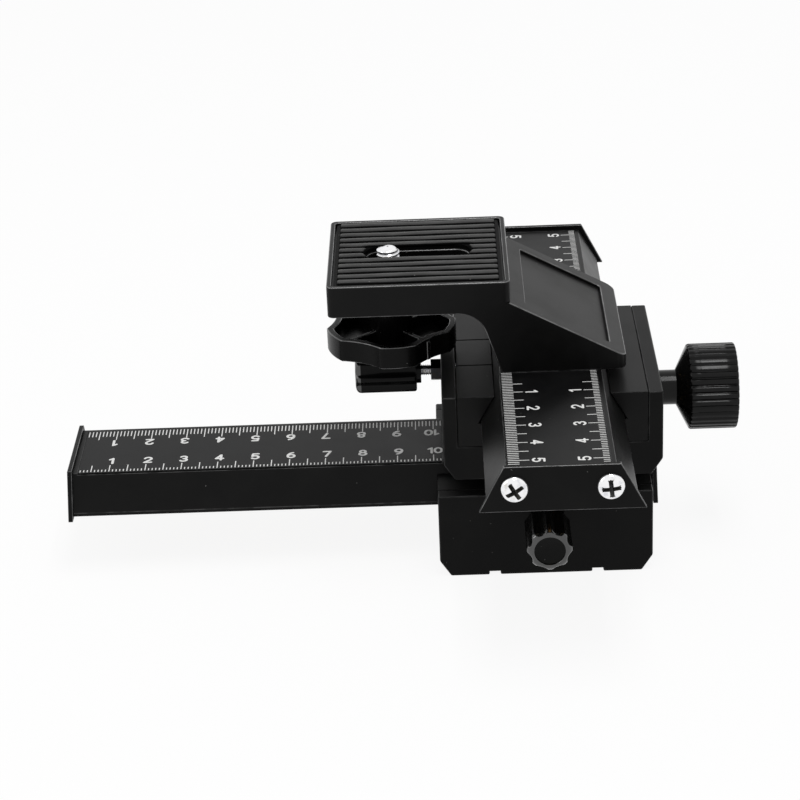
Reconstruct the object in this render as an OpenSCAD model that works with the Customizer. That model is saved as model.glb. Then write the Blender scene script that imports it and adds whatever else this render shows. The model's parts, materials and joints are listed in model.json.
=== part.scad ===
// Macro focusing rail: a dovetail slide on a tripod block and a second slide across it.
// The upper slide carries an offset camera bracket with a screw that runs in a slot.
// The origin is the mouth of the tripod socket, in the middle of the block's underside.
// X runs along the lower rail, Y runs along the upper rail and Z is up.
// Each slide is drawn in axes of its own, with its rail along Y and its lock knob at -X.

/* [Rails] */
// Length of each rail
rail_l = 160; // [145:1:200]
// Width of a rail's top face
rail_top_w = 27.2; // [26:0.1:28]
// Depth of a rail from its top face to its underside
rail_h = 10.6; // [10:0.1:11.2]
// Lean of the dovetail sides from upright, in degrees
dovetail_lean = 30; // [26:1:32]
// Height of the upright land under each dovetail side
rail_land_h = 1; // [0.5:0.1:2]
// Distance of the upper rail's middle behind the carriage's middle
upper_shift = 2.8; // [0:0.1:6]

/* [Scale plates] */
// Thickness of a scale plate
scale_t = 0.35; // [0.2:0.05:0.8]
// Width of the lip beside a scale plate
scale_lip_w = 1.3; // [1:0.1:2]
// Distance from a rail's end to its scale plate
scale_end_gap = 1.4; // [0.5:0.1:3]
// Length of the lower rail's scale plate
lower_scale_l = 101; // [80:1:104]

/* [Rail caps] */
// Thickness of an end cap
cap_t = 1.3; // [1:0.1:2]
// Height of an end cap's top edge above the rail
cap_over = 1.15; // [0.5:0.05:1.5]
// Overhang of an end cap past each side of the rail's top face
cap_top_side = 1; // [0.6:0.05:1.4]
// Overhang of an end cap past each side of the rail's foot
cap_foot_side = 1.86; // [1.4:0.02:2.6]
// Height of an end cap
cap_h = 12.5; // [12:0.1:13]
// Distance between the middles of a cap's two screws
cap_screw_gap = 24; // [22:0.1:26]
// Depth of the cap screws below the rail's top face
cap_screw_drop = 4.8; // [4:0.1:6]
// Diameter of a pan head on the upper rail's caps
pan_head_d = 7.2; // [6:0.1:8]
// Height of a pan head
pan_head_h = 2.3; // [1.8:0.1:2.8]
// Diameter of a low head on the lower rail's caps
low_head_d = 6.6; // [5:0.1:7.5]
// Height of a low head above the cap
low_head_h = 0.45; // [0.3:0.05:0.45]
// Diameter of the cap screws' shanks
cap_screw_d = 3; // [2.5:0.1:3.5]
// Length of the cap screws' shanks
cap_screw_l = 9; // [6:0.5:14]

/* [Frames] */
// Length of a frame along its rail
frame_l = 58.3; // [54:0.1:64]
// Thickness of a frame's side walls
wall_t = 4; // [3:0.1:5]
// Thickness of a frame's floor
floor_t = 10; // [9.4:0.1:10.4]
// Height of the rail's top face above the frame's walls
rail_proud = 2.8; // [2:0.1:3.2]
// Width of the bevel along a frame's lower edges
bevel_w = 3; // [1:0.1:4]
// Height of the bevel along a frame's lower edges
bevel_h = 4.6; // [2:0.1:6]
// Width of the grooves across the tripod block's underside
foot_groove_w = 3; // [1:0.1:4]
// Depth of the grooves across the tripod block's underside
foot_groove_h = 1; // [0.5:0.1:1.5]
// Distance between the middles of those grooves
foot_groove_gap = 28.2; // [20:0.1:30]

/* [Jaws] */
// Sideways gap between a rail's sides and the jaws
slide_gap = 0.15; // [0.14:0.01:0.2]
// Gap between a rail's underside and the jaws' ledges
ledge_gap = 0.05; // [0.03:0.01:0.1]
// Reach of the jaws' ledges under the rail's foot
ledge_w = 0.74; // [0.5:0.02:1.2]
// Width of the foot on which a jaw stands
jaw_foot_w = 7.1; // [6.6:0.1:9]
// Length of the clamping jaw along the rail
clamp_l = 16.8; // [12:0.1:24]
// Gap at each end of the clamping jaw
clamp_end_gap = 0.25; // [0.1:0.05:0.5]
// Gap between the clamping jaw and the wall behind it
clamp_back_gap = 0.3; // [0.2:0.05:0.5]
// Distance of the jaw screws from the middle of the frame, along the rail
jaw_screw_y = 20; // [17.8:0.1:22]
// Height of the jaw screws' tips above the frame's floor
jaw_screw_reach = 8; // [4:0.5:10]

/* [Carriage] */
// Distance from the lower rail's right end to the carriage's middle
carriage_inset = 27.7; // [27:0.1:40]
// Height of the pad under the carriage frame
riser_t = 1.9; // [1.3:0.1:3]
// Length of that pad along the lower rail
riser_l = 52; // [48:0.5:54]
// Gap between the lower rail's right cap and the tripod block, at home
home_gap = 0.85; // [0.8:0.05:3]
// Distance between the carriage screws along the lower rail
carriage_screw_gap_x = 28; // [24:0.5:30]
// Distance between the carriage screws across the lower rail
carriage_screw_gap_y = 17; // [16.5:0.5:18]
// Depth of the carriage screws in the lower rail
carriage_screw_reach = 6; // [4:0.5:6.5]

/* [Drives] */
// Pitch diameter of a pinion over the count of its teeth
tooth_module = 0.8; // [0.78:0.01:0.81]
// Teeth of a pinion
pinion_teeth = 12; // [12:1:12]
// Width of a pinion
pinion_w = 6; // [4:0.1:6.4]
// Width of a rack
rack_w = 6.8; // [6.4:0.1:8]
// Distance from a rail's end to the end of its rack
rack_end_gap = 5; // [2:0.5:10]
// Thickness of a rack behind its pitch line
rack_back = 3; // [2:0.1:3.4]
// Diameter of a drive shaft
shaft_d = 6; // [4:0.1:6.4]
// Outer diameter of a drive shaft's bush
bush_d = 8; // [7.4:0.1:8.4]
// Diameter of that bush's flange
bush_flange_d = 10.4; // [9:0.1:12]
// Thickness of that bush's flange
bush_flange_t = 0.8; // [0.5:0.1:1.5]
// Diameter of a drive knob over its ribs
drive_knob_d = 23.8; // [20:0.1:23.9]
// Length of a drive knob's ribbed part
drive_knob_l = 13.4; // [8:0.1:18]
// Length of the cone between the neck and the ribbed part
drive_cone_l = 3.2; // [1:0.1:5]
// Diameter of a drive knob's neck
drive_neck_d = 9.7; // [8:0.1:12]
// Length of a drive knob's neck
drive_neck_l = 5; // [2:0.1:8]
// Ribs round a drive knob
drive_ribs = 36; // [20:1:48]

/* [Locks] */
// Depth of a lock screw's axis below the rail's top face
lock_drop = 7.6; // [7:0.1:9]
// Diameter of a lock screw
lock_screw_d = 3; // [2.5:0.1:4]
// Width across the flats of a lock screw's nut
lock_nut_w = 5.5; // [5:0.1:7]
// Thickness of a lock screw's nut
lock_nut_t = 2.75; // [1.5:0.05:3]
// Length of bare lock screw between the nut and the knob
lock_bare_l = 2.75; // [2:0.05:5]
// Diameter of a lock knob over its lobes
lock_knob_d = 12.2; // [10:0.1:13]
// Length of a lock knob's lobed body
lock_knob_l = 16.9; // [10:0.1:20]
// Diameter of a lock knob's collar
lock_collar_d = 7.2; // [6:0.1:9]
// Length of a lock knob's collar
lock_collar_l = 1.25; // [0.5:0.05:3]
// Lobes round a lock knob
lock_lobes = 8; // [6:1:10]

/* [Camera bracket] */
// Length of the camera platform, along the lower rail
plat_l = 48.7; // [44:0.1:60]
// Width of the bracket, along the upper rail
bracket_w = 48.4; // [42:0.1:50]
// Thickness of the camera platform
plat_t = 8.85; // [7:0.05:10]
// Height of the platform's rim above the upper rail
plat_rise = 26.4; // [25.5:0.1:32]
// Distance from the rail's middle to the platform's near end
plat_reach = 10.35; // [6:0.05:12]
// Height of the upright step between the platform's rim and the slope
step_h = 6.15; // [3:0.05:6.5]
// Distance from the rail's middle to the foot's left end
foot_left = 13.1; // [12:0.1:15]
// Distance from the rail's middle to the foot's right end
foot_right = 20.4; // [15:0.1:24]
// Height of the foot's right end
foot_edge_h = 3.7; // [2:0.1:6]
// Lean of the leg's left side from upright, in degrees
leg_lean = 18; // [4:1:20]
// Radius between the leg and the platform's underside
leg_r = 8; // [4:0.5:9]
// Radius of the platform's upright corners
plat_corner_r = 1.8; // [0.5:0.1:2.5]
// Radius of the foot's upright corners
foot_corner_r = 2.6; // [0.5:0.1:5]
// Distance of the bracket's middle behind the upper rail's middle
bracket_shift = 1.1; // [0:0.1:2]
// Margin round the sloped panel
panel_margin = 4.75; // [3:0.05:8]
// Depth of the sloped panel
panel_h = 0.9; // [0.4:0.1:1.5]
// Distance of the bracket screws from the rail's middle, across the rail
bracket_screw_x = 9; // [7.5:0.1:10]
// Distance of the bracket screws from the bracket's middle, along the rail
bracket_screw_y = 15; // [10:0.5:18]
// Depth of the bracket screws in the bracket's foot
bracket_screw_reach = 6; // [4:0.5:6.5]

/* [Camera pad and screw] */
// Width of the platform's rim
rim_w = 1.35; // [1:0.05:2]
// Depth of the tray inside the rim
tray_h = 1.4; // [1:0.1:2]
// Gap between the rim and the pad
pad_gap = 0.5; // [0.2:0.1:0.8]
// Thickness of the pad's sheet
pad_sheet_t = 1; // [0.6:0.1:1.4]
// Height of the pad's ribs above its sheet
pad_rib_h = 0.8; // [0.5:0.1:1.5]
// Ribs on the pad
pad_ribs = 12; // [8:1:16]
// Width of a pad rib
pad_rib_w = 2.1; // [1:0.1:2.4]
// Margin of bare sheet round the pad's ribs
pad_margin = 0.9; // [0.4:0.1:2]
// Length of the slot in the platform
slot_l = 27.6; // [24:0.1:32]
// Width of the slot in the platform
slot_w = 7.3; // [7:0.1:9]
// Width of the slot's lower part
slot_neck_w = 5.5; // [5:0.1:6.4]
// Height of the slot's lower part
slot_neck_h = 4.65; // [3:0.05:5.2]
// Distance from the slot's edge to the pad's window
window_gap = 1; // [0.5:0.1:1.5]
// Diameter of the camera screw
camera_screw_d = 6.35; // [6:0.05:6.5]
// Height of the camera screw above the platform's rim
camera_screw_rise = 1.7; // [0.8:0.1:6]
// Distance from the slot's middle to the camera screw, at home
camera_screw_shift = 8.1; // [6:0.1:8.4]
// Diameter of the camera screw's neck
screw_neck_d = 4; // [3:0.1:4.2]
// Height that the camera screw lifts
screw_lift = 3.6; // [1:0.1:5]
// Thickness of the flange of the guide that slides in the slot
guide_t = 1; // [0.6:0.1:1.4]
// Gap between that guide and the slot's sides
guide_gap = 0.1; // [0.05:0.01:0.15]
// Diameter of the thumb wheel over its lobes
wheel_d = 35.8; // [32:0.1:36]
// Height of the thumb wheel's rim
wheel_h = 6.3; // [4:0.1:8]
// Thickness of the thumb wheel's rim
wheel_wall = 1.8; // [1.2:0.1:2.6]
// Thickness of the thumb wheel's floor
wheel_floor = 1.8; // [1:0.1:3]
// Lobes round the thumb wheel
wheel_lobes = 5; // [4:1:8]
// Ribs between the wheel's hub and its rim
wheel_ribs = 4; // [3:1:6]
// Diameter of the wheel's hub
hub_d = 12; // [9:0.1:14]
// Drop of the thumb wheel's underside below the upper rail's top
wheel_drop = 0.7; // [0:0.1:1]
// Diameter of the washer on the wheel's hub
washer_d = 14; // [12:0.1:16]
// Thickness of that washer
washer_t = 1.2; // [0.8:0.1:2]

/* [Tripod socket] */
// Diameter of the tripod socket
socket_d = 6.4; // [6.35:0.05:6.6]
// Depth of the tripod socket
socket_h = 5; // [4:0.1:5.4]
// Diameter of the insert that holds the socket
insert_d = 11; // [9:0.1:13]
// Thickness of the floor between the socket and the pinion's pocket
socket_roof = 0.9; // [0.7:0.05:1.5]

/* [Hidden] */

// Roundness of turned surfaces
$fn = 64;
// Overrun of cuts past the face that they open
cut = 0.5;
// Gap between pieces that are fitted together and don't move
fit = 0.05;
// Running clearance round shafts
run = 0.05;
// End float of turning pieces
float = 0.15;
// Gap round what turns in a pocket
pocket_gap = 0.5;

// Small socket head screws
m3_d = 3;
m3_head_d = 5.5;
m3_head_h = 3;
m3_hex_w = 2.5;
m3_hex_h = 1.5;
m3_gap = 0.15;

// Colours
case_black = [0.09, 0.09, 0.09];
jaw_black = [0.12, 0.12, 0.12];
rail_black = [0.15, 0.15, 0.15];
plate_black = [0.2, 0.2, 0.21];
knob_black = [0.08, 0.08, 0.08];
pad_grey = [0.22, 0.22, 0.22];
steel = [0.6, 0.6, 0.62];
chrome = [0.85, 0.86, 0.88];
dark_steel = [0.3, 0.3, 0.31];
brass = [0.72, 0.56, 0.3];

// Heights within a slide, above its frame's underside. The pinion turns over the tripod
// socket, and its rack's pitch line lies level with the rail's underside
pinion_r = tooth_module * (pinion_teeth + 2) / 2;
pitch_r = tooth_module * pinion_teeth / 2;
drive_z = socket_h + socket_roof + pocket_gap + pinion_r;
mesh_z = drive_z + pitch_r;
ledge_z = mesh_z - ledge_gap;
rail_z = mesh_z + rail_h;
frame_h = rail_z - rail_proud;
lock_z = rail_z - lock_drop;

// Places of the lower rail and of the carriage, which stands on it
lower_end_x = frame_l / 2 + home_gap;
lower_shift = rail_l / 2 - lower_end_x;
carriage_x = lower_end_x - carriage_inset;
carriage_z = rail_z + riser_t;

// Half of a rail's width at a depth below its top face, and at its foot
function rail_half(depth) = rail_top_w / 2 + depth * tan(dovetail_lean);
rail_foot_half = rail_half(rail_h - rail_land_h);

// Widths of an end cap at its top and bottom edges
cap_top_w = rail_top_w + 2 * cap_top_side;
cap_bottom_w = 2 * (rail_foot_half + cap_foot_side);

// From the rail out: the facing jaws, their feet and the frame's side walls
jaw_inner_w = 2 * (rail_foot_half - ledge_w);
jaw_screw_x = (jaw_inner_w + jaw_foot_w) / 2;
wall_in = jaw_inner_w / 2 + jaw_foot_w;
frame_w = 2 * (wall_in + wall_t);
end_jaw_l = (frame_l - clamp_l) / 2 - clamp_end_gap;

module at_base() {
    rotate([0, 0, 90]) children();
}

module at_carriage() {
    translate([carriage_x, 0, carriage_z]) children();
}

module at_lower_rail() {
    at_base() translate([0, lower_shift, rail_z]) children();
}

module at_upper_rail() {
    at_carriage() translate([0, upper_shift, rail_z]) children();
}

// A round bar along X that starts at x
module bar_x(x, z, d, l) {
    translate([x, 0, z]) rotate([0, 90, 0]) cylinder(d = d, h = l);
}

// An outline in X and Z, drawn along Y with its middle at y
module along_y(y, l) {
    translate([0, y + l / 2, 0]) rotate([90, 0, 0]) linear_extrude(height = l) children();
}

// A rectangle with round corners, for the plan of a plate
module round_plan(l, w, r) {
    square([l - 2 * r, w], center = true);
    square([l, w - 2 * r], center = true);
    for (x = [-l / 2 + r, l / 2 - r], y = [-w / 2 + r, w / 2 - r]) {
        translate([x, y]) circle(r = r);
    }
}

// The radius of a ball whose top, h high, has a foot of diameter d
function dome_r(d, h) = (d * d / 4 + h * h) / (2 * h);

// The top of a ball, standing on a round of diameter d
module dome(d, h) {
    intersection() {
        translate([0, 0, h - dome_r(d, h)]) sphere(r = dome_r(d, h));
        cylinder(d = d + 2 * cut, h = 2 * h);
    }
}

// A socket head screw that points up, with its shank starting at 0
module socket_screw(l) {
    difference() {
        union() {
            cylinder(d = m3_d, h = l);
            translate([0, 0, -m3_head_h]) cylinder(d = m3_head_d, h = m3_head_h);
        }
        translate([0, 0, -m3_head_h - cut]) cylinder(d = m3_hex_w, h = m3_hex_h + cut, $fn = 6);
    }
}

// The way of such a screw through a plate of thickness t, from below: it seats at m3_seat
m3_seat = m3_head_h + m3_gap;
module screw_way(t) {
    translate([0, 0, -cut]) cylinder(d = m3_head_d + 2 * m3_gap, h = m3_seat + cut);
    translate([0, 0, -cut]) cylinder(d = m3_d + 2 * m3_gap, h = t + 2 * cut);
}

// Frames
shaft_over = 2;
clip_d = shaft_d * 3 / 2;

module frame_outline() {
    polygon([
        [-frame_w / 2, 0], [frame_w / 2, 0], [frame_w / 2, frame_h], [wall_in, frame_h],
        [wall_in, floor_t], [-wall_in, floor_t], [-wall_in, frame_h], [-frame_w / 2, frame_h]
    ]);
}

module jaw_screw_places() {
    for (x = [-jaw_screw_x, jaw_screw_x], y = [-jaw_screw_y, jaw_screw_y]) {
        translate([x, y, 0]) children();
    }
}

// The bevel along the lower edge at a half width, drawn along Y
module bevel_cut(half, l) {
    along_y(0, l + 2 * cut) polygon([
        [half - bevel_w, 0], [half - bevel_w, -cut], [half + cut, -cut],
        [half + cut, bevel_h], [half, bevel_h]
    ]);
}

// A floor and two side walls, with the ways of the pinion, its shaft and the screws
module frame_shape() {
    difference() {
        along_y(0, frame_l) frame_outline();
        translate([-pinion_w / 2 - shaft_over - pocket_gap, -pinion_r - pocket_gap,
                drive_z - pinion_r - pocket_gap])
            cube([pinion_w + shaft_over + 2 * pocket_gap, 2 * (pinion_r + pocket_gap), frame_h]);
        bar_x(0, drive_z, clip_d + 2 * pocket_gap, jaw_inner_w / 2);
        bar_x(0, drive_z, bush_d + 2 * fit, frame_w);
        bar_x(-frame_w, lock_z, lock_screw_d + 2 * run, frame_w);
        jaw_screw_places() screw_way(floor_t);
    }
}

// A jaw at +X: it stands on the floor against the wall and reaches over the rail's side
module jaw_outline(back_gap) {
    polygon([
        [wall_in - back_gap, floor_t], [wall_in - back_gap, frame_h],
        [rail_half(rail_proud) + slide_gap, frame_h],
        [rail_half(rail_z - ledge_z) + slide_gap, ledge_z],
        [jaw_inner_w / 2, ledge_z], [jaw_inner_w / 2, floor_t]
    ]);
}

module jaw_tapping() {
    translate([0, 0, floor_t - cut]) cylinder(d = m3_d + 2 * fit, h = jaw_screw_reach + 2 * cut);
}

module fixed_jaw() {
    difference() {
        along_y(0, frame_l) jaw_outline(fit);
        jaw_screw_places() jaw_tapping();
        bar_x(0, drive_z, bush_d + 2 * fit, frame_w);
    }
}

// A short jaw beside the clamping jaw, at the front (-1) or the back (1)
module end_jaw(side) {
    difference() {
        mirror([1, 0, 0]) along_y(side * (frame_l - end_jaw_l) / 2, end_jaw_l) jaw_outline(fit);
        jaw_screw_places() jaw_tapping();
    }
}

// The clamping jaw has a blind seat for the lock screw's tip
lock_seat_h = 1.5;
lock_tip_gap = 0.3;
module clamp_jaw() {
    difference() {
        mirror([1, 0, 0]) along_y(0, clamp_l) jaw_outline(clamp_back_gap);
        bar_x(-frame_w, lock_z, lock_screw_d + 4 * run, frame_w - wall_in + clamp_back_gap + lock_seat_h);
    }
}

module jaw_screws() {
    jaw_screw_places() translate([0, 0, m3_seat]) socket_screw(floor_t - m3_seat + jaw_screw_reach);
}

// Locks: a screw through the wall, its nut and its knob, along -X
lock_collar_x = -frame_w / 2 - lock_nut_t - lock_bare_l;
lock_body_x = lock_collar_x - lock_collar_l;
lock_grip_l = lock_knob_l / 2;
lock_tip_x = -wall_in + clamp_back_gap + lock_seat_h - lock_tip_gap;
lock_bevel = lock_knob_d / 8;
lock_back_bevel = lock_bevel / 3;
lobe_cut_d = lock_knob_d * 2 / 5;
lobe_depth = lock_knob_d / 13;
lock_dish_d = lock_knob_d * 2 / 3;
lock_dish_h = lock_knob_d / 20;

module lock_nut() {
    difference() {
        translate([-frame_w / 2 - lock_nut_t, 0, lock_z]) rotate([0, 90, 0])
            cylinder(d = lock_nut_w / cos(30), h = lock_nut_t, $fn = 6);
        bar_x(-frame_w, lock_z, lock_screw_d + 2 * run, frame_w);
    }
}

module lock_screw() {
    bar_x(lock_body_x - lock_grip_l, lock_z, lock_screw_d, lock_tip_x - lock_body_x + lock_grip_l);
}

module lock_knob() {
    difference() {
        union() {
            translate([lock_body_x - lock_knob_l, 0, lock_z]) rotate([0, 90, 0]) rotate_extrude()
                polygon([
                    [0, 0], [lock_knob_d / 2 - lock_bevel, 0], [lock_knob_d / 2, lock_bevel],
                    [lock_knob_d / 2, lock_knob_l - lock_back_bevel],
                    [lock_knob_d / 2 - lock_back_bevel, lock_knob_l], [0, lock_knob_l]
                ]);
            bar_x(lock_body_x, lock_z, lock_collar_d, lock_collar_l);
        }
        for (i = [0:lock_lobes - 1]) {
            translate([0, 0, lock_z]) rotate([(i + 1 / 2) * 360 / lock_lobes, 0, 0])
                bar_x(lock_body_x - lock_knob_l - cut, (lock_knob_d + lobe_cut_d) / 2 - lobe_depth,
                    lobe_cut_d, lock_knob_l + 2 * cut);
        }
        bar_x(lock_body_x - lock_knob_l - cut, lock_z, lock_dish_d, lock_dish_h + cut);
        bar_x(lock_body_x - lock_grip_l - fit, lock_z, lock_screw_d + 2 * fit, frame_w);
    }
}

// Rack and pinion: involute flanks on the pinion and straight ones on the rack
pressure_angle = 20;
tooth_pitch = PI * tooth_module;
backlash = tooth_module / 4;
pinion_root_r = pitch_r - tooth_module * 9 / 8;
base_r = pitch_r * cos(pressure_angle);
rack_l = rail_l - 2 * rack_end_gap;
rack_tip = tooth_module * 5 / 8;
rack_root = tooth_module * 5 / 4;
flank_steps = 5;
flank_radii = concat(
    [pinion_root_r],
    [for (i = [0:flank_steps]) base_r + (pinion_r - base_r) * i / flank_steps]
);
tooth_half = (tooth_pitch / 2 - backlash) / 2 / pitch_r * 180 / PI;

function involute(r) = tan(acos(base_r / r)) * 180 / PI - acos(base_r / r);
function flank_angle(r) = tooth_half + involute(pitch_r) - involute(max(r, base_r));
function flank_point(r, a) = [r * cos(a), r * sin(a)];
function tooth_points(a) = concat(
    [for (r = flank_radii) flank_point(r, a - flank_angle(r))],
    [for (i = [len(flank_radii) - 1:-1:0]) flank_point(flank_radii[i], a + flank_angle(flank_radii[i]))]
);

module pinion() {
    translate([-pinion_w / 2, 0, drive_z]) rotate([0, 90, 0]) difference() {
        linear_extrude(height = pinion_w)
            polygon([for (i = [0:pinion_teeth - 1]) each tooth_points(i * 360 / pinion_teeth)]);
        translate([0, 0, -cut]) cylinder(d = shaft_d + 2 * fit, h = pinion_w + 2 * cut);
    }
}

// The rack's teeth are counted from the pinion, so the two mesh at home
module rack_shape(shift) {
    first = ceil((shift - rack_l / 2) / tooth_pitch);
    last = floor((shift + rack_l / 2) / tooth_pitch) - 1;
    half = (tooth_pitch - backlash) / 4;
    tip_half = half - rack_tip * tan(pressure_angle);
    root_half = half + rack_root * tan(pressure_angle);
    rotate([90, 0, 90]) translate([0, 0, -rack_w / 2]) linear_extrude(height = rack_w)
        polygon(concat(
            [[shift - rack_l / 2, mesh_z + rack_back], [shift - rack_l / 2, mesh_z + rack_root]],
            [for (k = [first:last]) let (y = (k + 1 / 2) * tooth_pitch) each [
                [y - root_half, mesh_z + rack_root], [y - tip_half, mesh_z - rack_tip],
                [y + tip_half, mesh_z - rack_tip], [y + root_half, mesh_z + rack_root]
            ]],
            [[shift + rack_l / 2, mesh_z + rack_root], [shift + rack_l / 2, mesh_z + rack_back]]
        ));
}

// Drives: shaft, bush, clip and knob, along +X
knob_x = frame_w / 2 + bush_flange_t + float;
knob_rib_x = knob_x + drive_neck_l + drive_cone_l;
knob_end_x = knob_rib_x + drive_knob_l;
knob_edge = drive_knob_d / 40;
knob_groove_d = drive_knob_d / 20;
knob_groove_share = 0.4;
dish_h = drive_knob_l / 9;
dish_rim = drive_knob_d / 8;
shaft_in_x = -pinion_w / 2 - shaft_over;
shaft_out_x = knob_end_x - drive_knob_l / 3;
clip_t = shaft_d / 10;
clip_x = jaw_inner_w / 2 - float - clip_t;
clip_seat_d = shaft_d * 4 / 5;

module drive_bush() {
    difference() {
        union() {
            bar_x(jaw_inner_w / 2, drive_z, bush_d, (frame_w - jaw_inner_w) / 2);
            bar_x(frame_w / 2, drive_z, bush_flange_d, bush_flange_t);
        }
        bar_x(0, drive_z, shaft_d + 2 * run, frame_w);
    }
}

module drive_shaft() {
    difference() {
        bar_x(shaft_in_x, drive_z, shaft_d, shaft_out_x - shaft_in_x);
        difference() {
            bar_x(clip_x - fit, drive_z, shaft_d + 2 * cut, clip_t + 2 * fit);
            bar_x(clip_x - cut, drive_z, clip_seat_d, clip_t + 2 * cut);
        }
    }
}

// The clip is open at the top, so it can be pushed on
module shaft_clip() {
    difference() {
        bar_x(clip_x, drive_z, clip_d, clip_t);
        bar_x(clip_x - cut, drive_z, clip_seat_d + 2 * fit, clip_t + 2 * cut);
        translate([clip_x - cut, -clip_seat_d / 3, drive_z])
            cube([clip_t + 2 * cut, clip_seat_d * 2 / 3, clip_d]);
    }
}

module drive_knob() {
    difference() {
        translate([knob_x, 0, drive_z]) rotate([0, 90, 0]) rotate_extrude() polygon([
            [0, 0], [drive_neck_d / 2, 0], [drive_neck_d / 2, drive_neck_l],
            [drive_knob_d / 2 - knob_edge, knob_rib_x - knob_x],
            [drive_knob_d / 2, knob_rib_x - knob_x + knob_edge],
            [drive_knob_d / 2, knob_end_x - knob_x - knob_edge],
            [drive_knob_d / 2 - knob_edge, knob_end_x - knob_x],
            [0, knob_end_x - knob_x]
        ]);
        for (i = [0:drive_ribs - 1]) {
            translate([0, 0, drive_z]) rotate([(i + 1 / 2) * 360 / drive_ribs, 0, 0])
                bar_x(knob_rib_x, drive_knob_d / 2 + knob_groove_d * (1 / 2 - knob_groove_share),
                    knob_groove_d, drive_knob_l + cut);
        }
        bar_x(knob_end_x - dish_h, drive_z, drive_knob_d - 2 * dish_rim, dish_h + cut);
        bar_x(knob_x - cut, drive_z, shaft_d + 2 * fit, shaft_out_x - knob_x + fit + cut);
    }
}

// Rails, with their top face at 0 and their middle at the origin
rack_way_half = rack_w / 2 + fit;
rack_way_z = mesh_z + rack_back - rail_z;

module rail_outline() {
    polygon([
        [-rail_top_w / 2, 0], [rail_top_w / 2, 0],
        [rail_foot_half, -rail_h + rail_land_h], [rail_foot_half, -rail_h],
        [rack_way_half, -rail_h], [rack_way_half, rack_way_z],
        [-rack_way_half, rack_way_z], [-rack_way_half, -rail_h],
        [-rail_foot_half, -rail_h], [-rail_foot_half, -rail_h + rail_land_h]
    ]);
}

module both_ends() {
    for (turn = [0, 180]) {
        rotate([0, 0, turn]) children();
    }
}

module cap_screw_places() {
    for (x = [-cap_screw_gap / 2, cap_screw_gap / 2]) {
        translate([x, -rail_l / 2, -cap_screw_drop]) rotate([-90, 0, 0]) children();
    }
}

module rail_shape() {
    difference() {
        along_y(0, rail_l) rail_outline();
        both_ends() cap_screw_places() translate([0, 0, -cut])
            cylinder(d = cap_screw_d + 2 * fit, h = cap_screw_l + 2 * cut);
    }
}

// The end cap at the front
module rail_cap() {
    difference() {
        along_y(-(rail_l + cap_t) / 2, cap_t) polygon([
            [-cap_top_w / 2, cap_over], [cap_top_w / 2, cap_over],
            [cap_bottom_w / 2, cap_over - cap_h], [-cap_bottom_w / 2, cap_over - cap_h]
        ]);
        cap_screw_places() translate([0, 0, -cap_t - cut])
            cylinder(d = cap_screw_d + 2 * fit, h = cap_t + 2 * cut);
    }
}

// Domed screws in both caps, with a cross recess
cross_share = 0.6;
cross_arm_share = 0.16;
module cap_screws(head_d, head_h) {
    cross_w = head_d * cross_share;
    cross_arm = head_d * cross_arm_share;
    both_ends() cap_screw_places() translate([0, 0, -cap_t]) difference() {
        union() {
            mirror([0, 0, 1]) dome(head_d, head_h);
            cylinder(d = cap_screw_d, h = cap_screw_l);
        }
        for (turn = [0, 90]) {
            rotate(turn) translate([-cross_w / 2, -cross_arm / 2, -head_h - cut])
                cube([cross_w, cross_arm, head_h * cross_share + cut]);
        }
    }
}

// A scale plate lies in a shallow pocket that is open at the rail's left edge
scale_pocket_h = scale_t + fit;
scale_edge = scale_t / 2;
module scale_pocket(y, l) {
    translate([-rail_top_w / 2 - cut, y - l / 2, -scale_pocket_h])
        cube([rail_top_w - scale_lip_w + cut, l, scale_pocket_h + cut]);
}

module scale_plate(y, l) {
    translate([-rail_top_w / 2 + scale_edge, y - l / 2 + fit, -scale_pocket_h])
        cube([rail_top_w - scale_lip_w - scale_edge - fit, l - 2 * fit, scale_t]);
}

// Tripod block
module base_frame() {
    color(case_black) at_base() difference() {
        frame_shape();
        for (turn = [90, 270]) {
            rotate([0, 0, turn]) bevel_cut(frame_l / 2, frame_w);
        }
        for (y = [-foot_groove_gap / 2, foot_groove_gap / 2]) {
            translate([-frame_w / 2 - cut, y - foot_groove_w / 2, -cut])
                cube([frame_w + 2 * cut, foot_groove_w, foot_groove_h + cut]);
        }
        translate([0, 0, -cut]) cylinder(d = insert_d + 2 * fit, h = socket_h + cut);
    }
}

module base_fixed_jaw() {
    color(jaw_black) at_base() fixed_jaw();
}

module base_left_jaw() {
    color(jaw_black) at_base() end_jaw(1);
}

module base_right_jaw() {
    color(jaw_black) at_base() end_jaw(-1);
}

module base_jaw_screws() {
    color(dark_steel) at_base() jaw_screws();
}

module tripod_insert() {
    color(steel) difference() {
        cylinder(d = insert_d, h = socket_h);
        translate([0, 0, -cut]) cylinder(d = socket_d, h = socket_h + 2 * cut);
    }
}

module base_lock_nut() {
    color(dark_steel) at_base() lock_nut();
}

module base_drive_bush() {
    color(brass) at_base() drive_bush();
}

// Lock and drive of the lower slide
module base_clamp_jaw() {
    color(jaw_black) at_base() clamp_jaw();
}

module base_lock_screw() {
    color(steel) at_base() lock_screw();
}

module base_lock_knob() {
    color(knob_black) at_base() lock_knob();
}

module base_pinion() {
    color(brass) at_base() pinion();
}

module base_drive_shaft() {
    color(steel) at_base() drive_shaft();
}

module base_shaft_clip() {
    color(dark_steel) at_base() shaft_clip();
}

module base_drive_knob() {
    color(knob_black) at_base() drive_knob();
}

// Lower rail, which holds the carriage's screws at its right end
lower_scale_y = (rail_l - lower_scale_l) / 2 - scale_end_gap;

module carriage_screw_places() {
    for (x = [-1, 1], y = [-1, 1]) {
        translate([x * carriage_screw_gap_x / 2, y * carriage_screw_gap_y / 2, 0]) children();
    }
}

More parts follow.
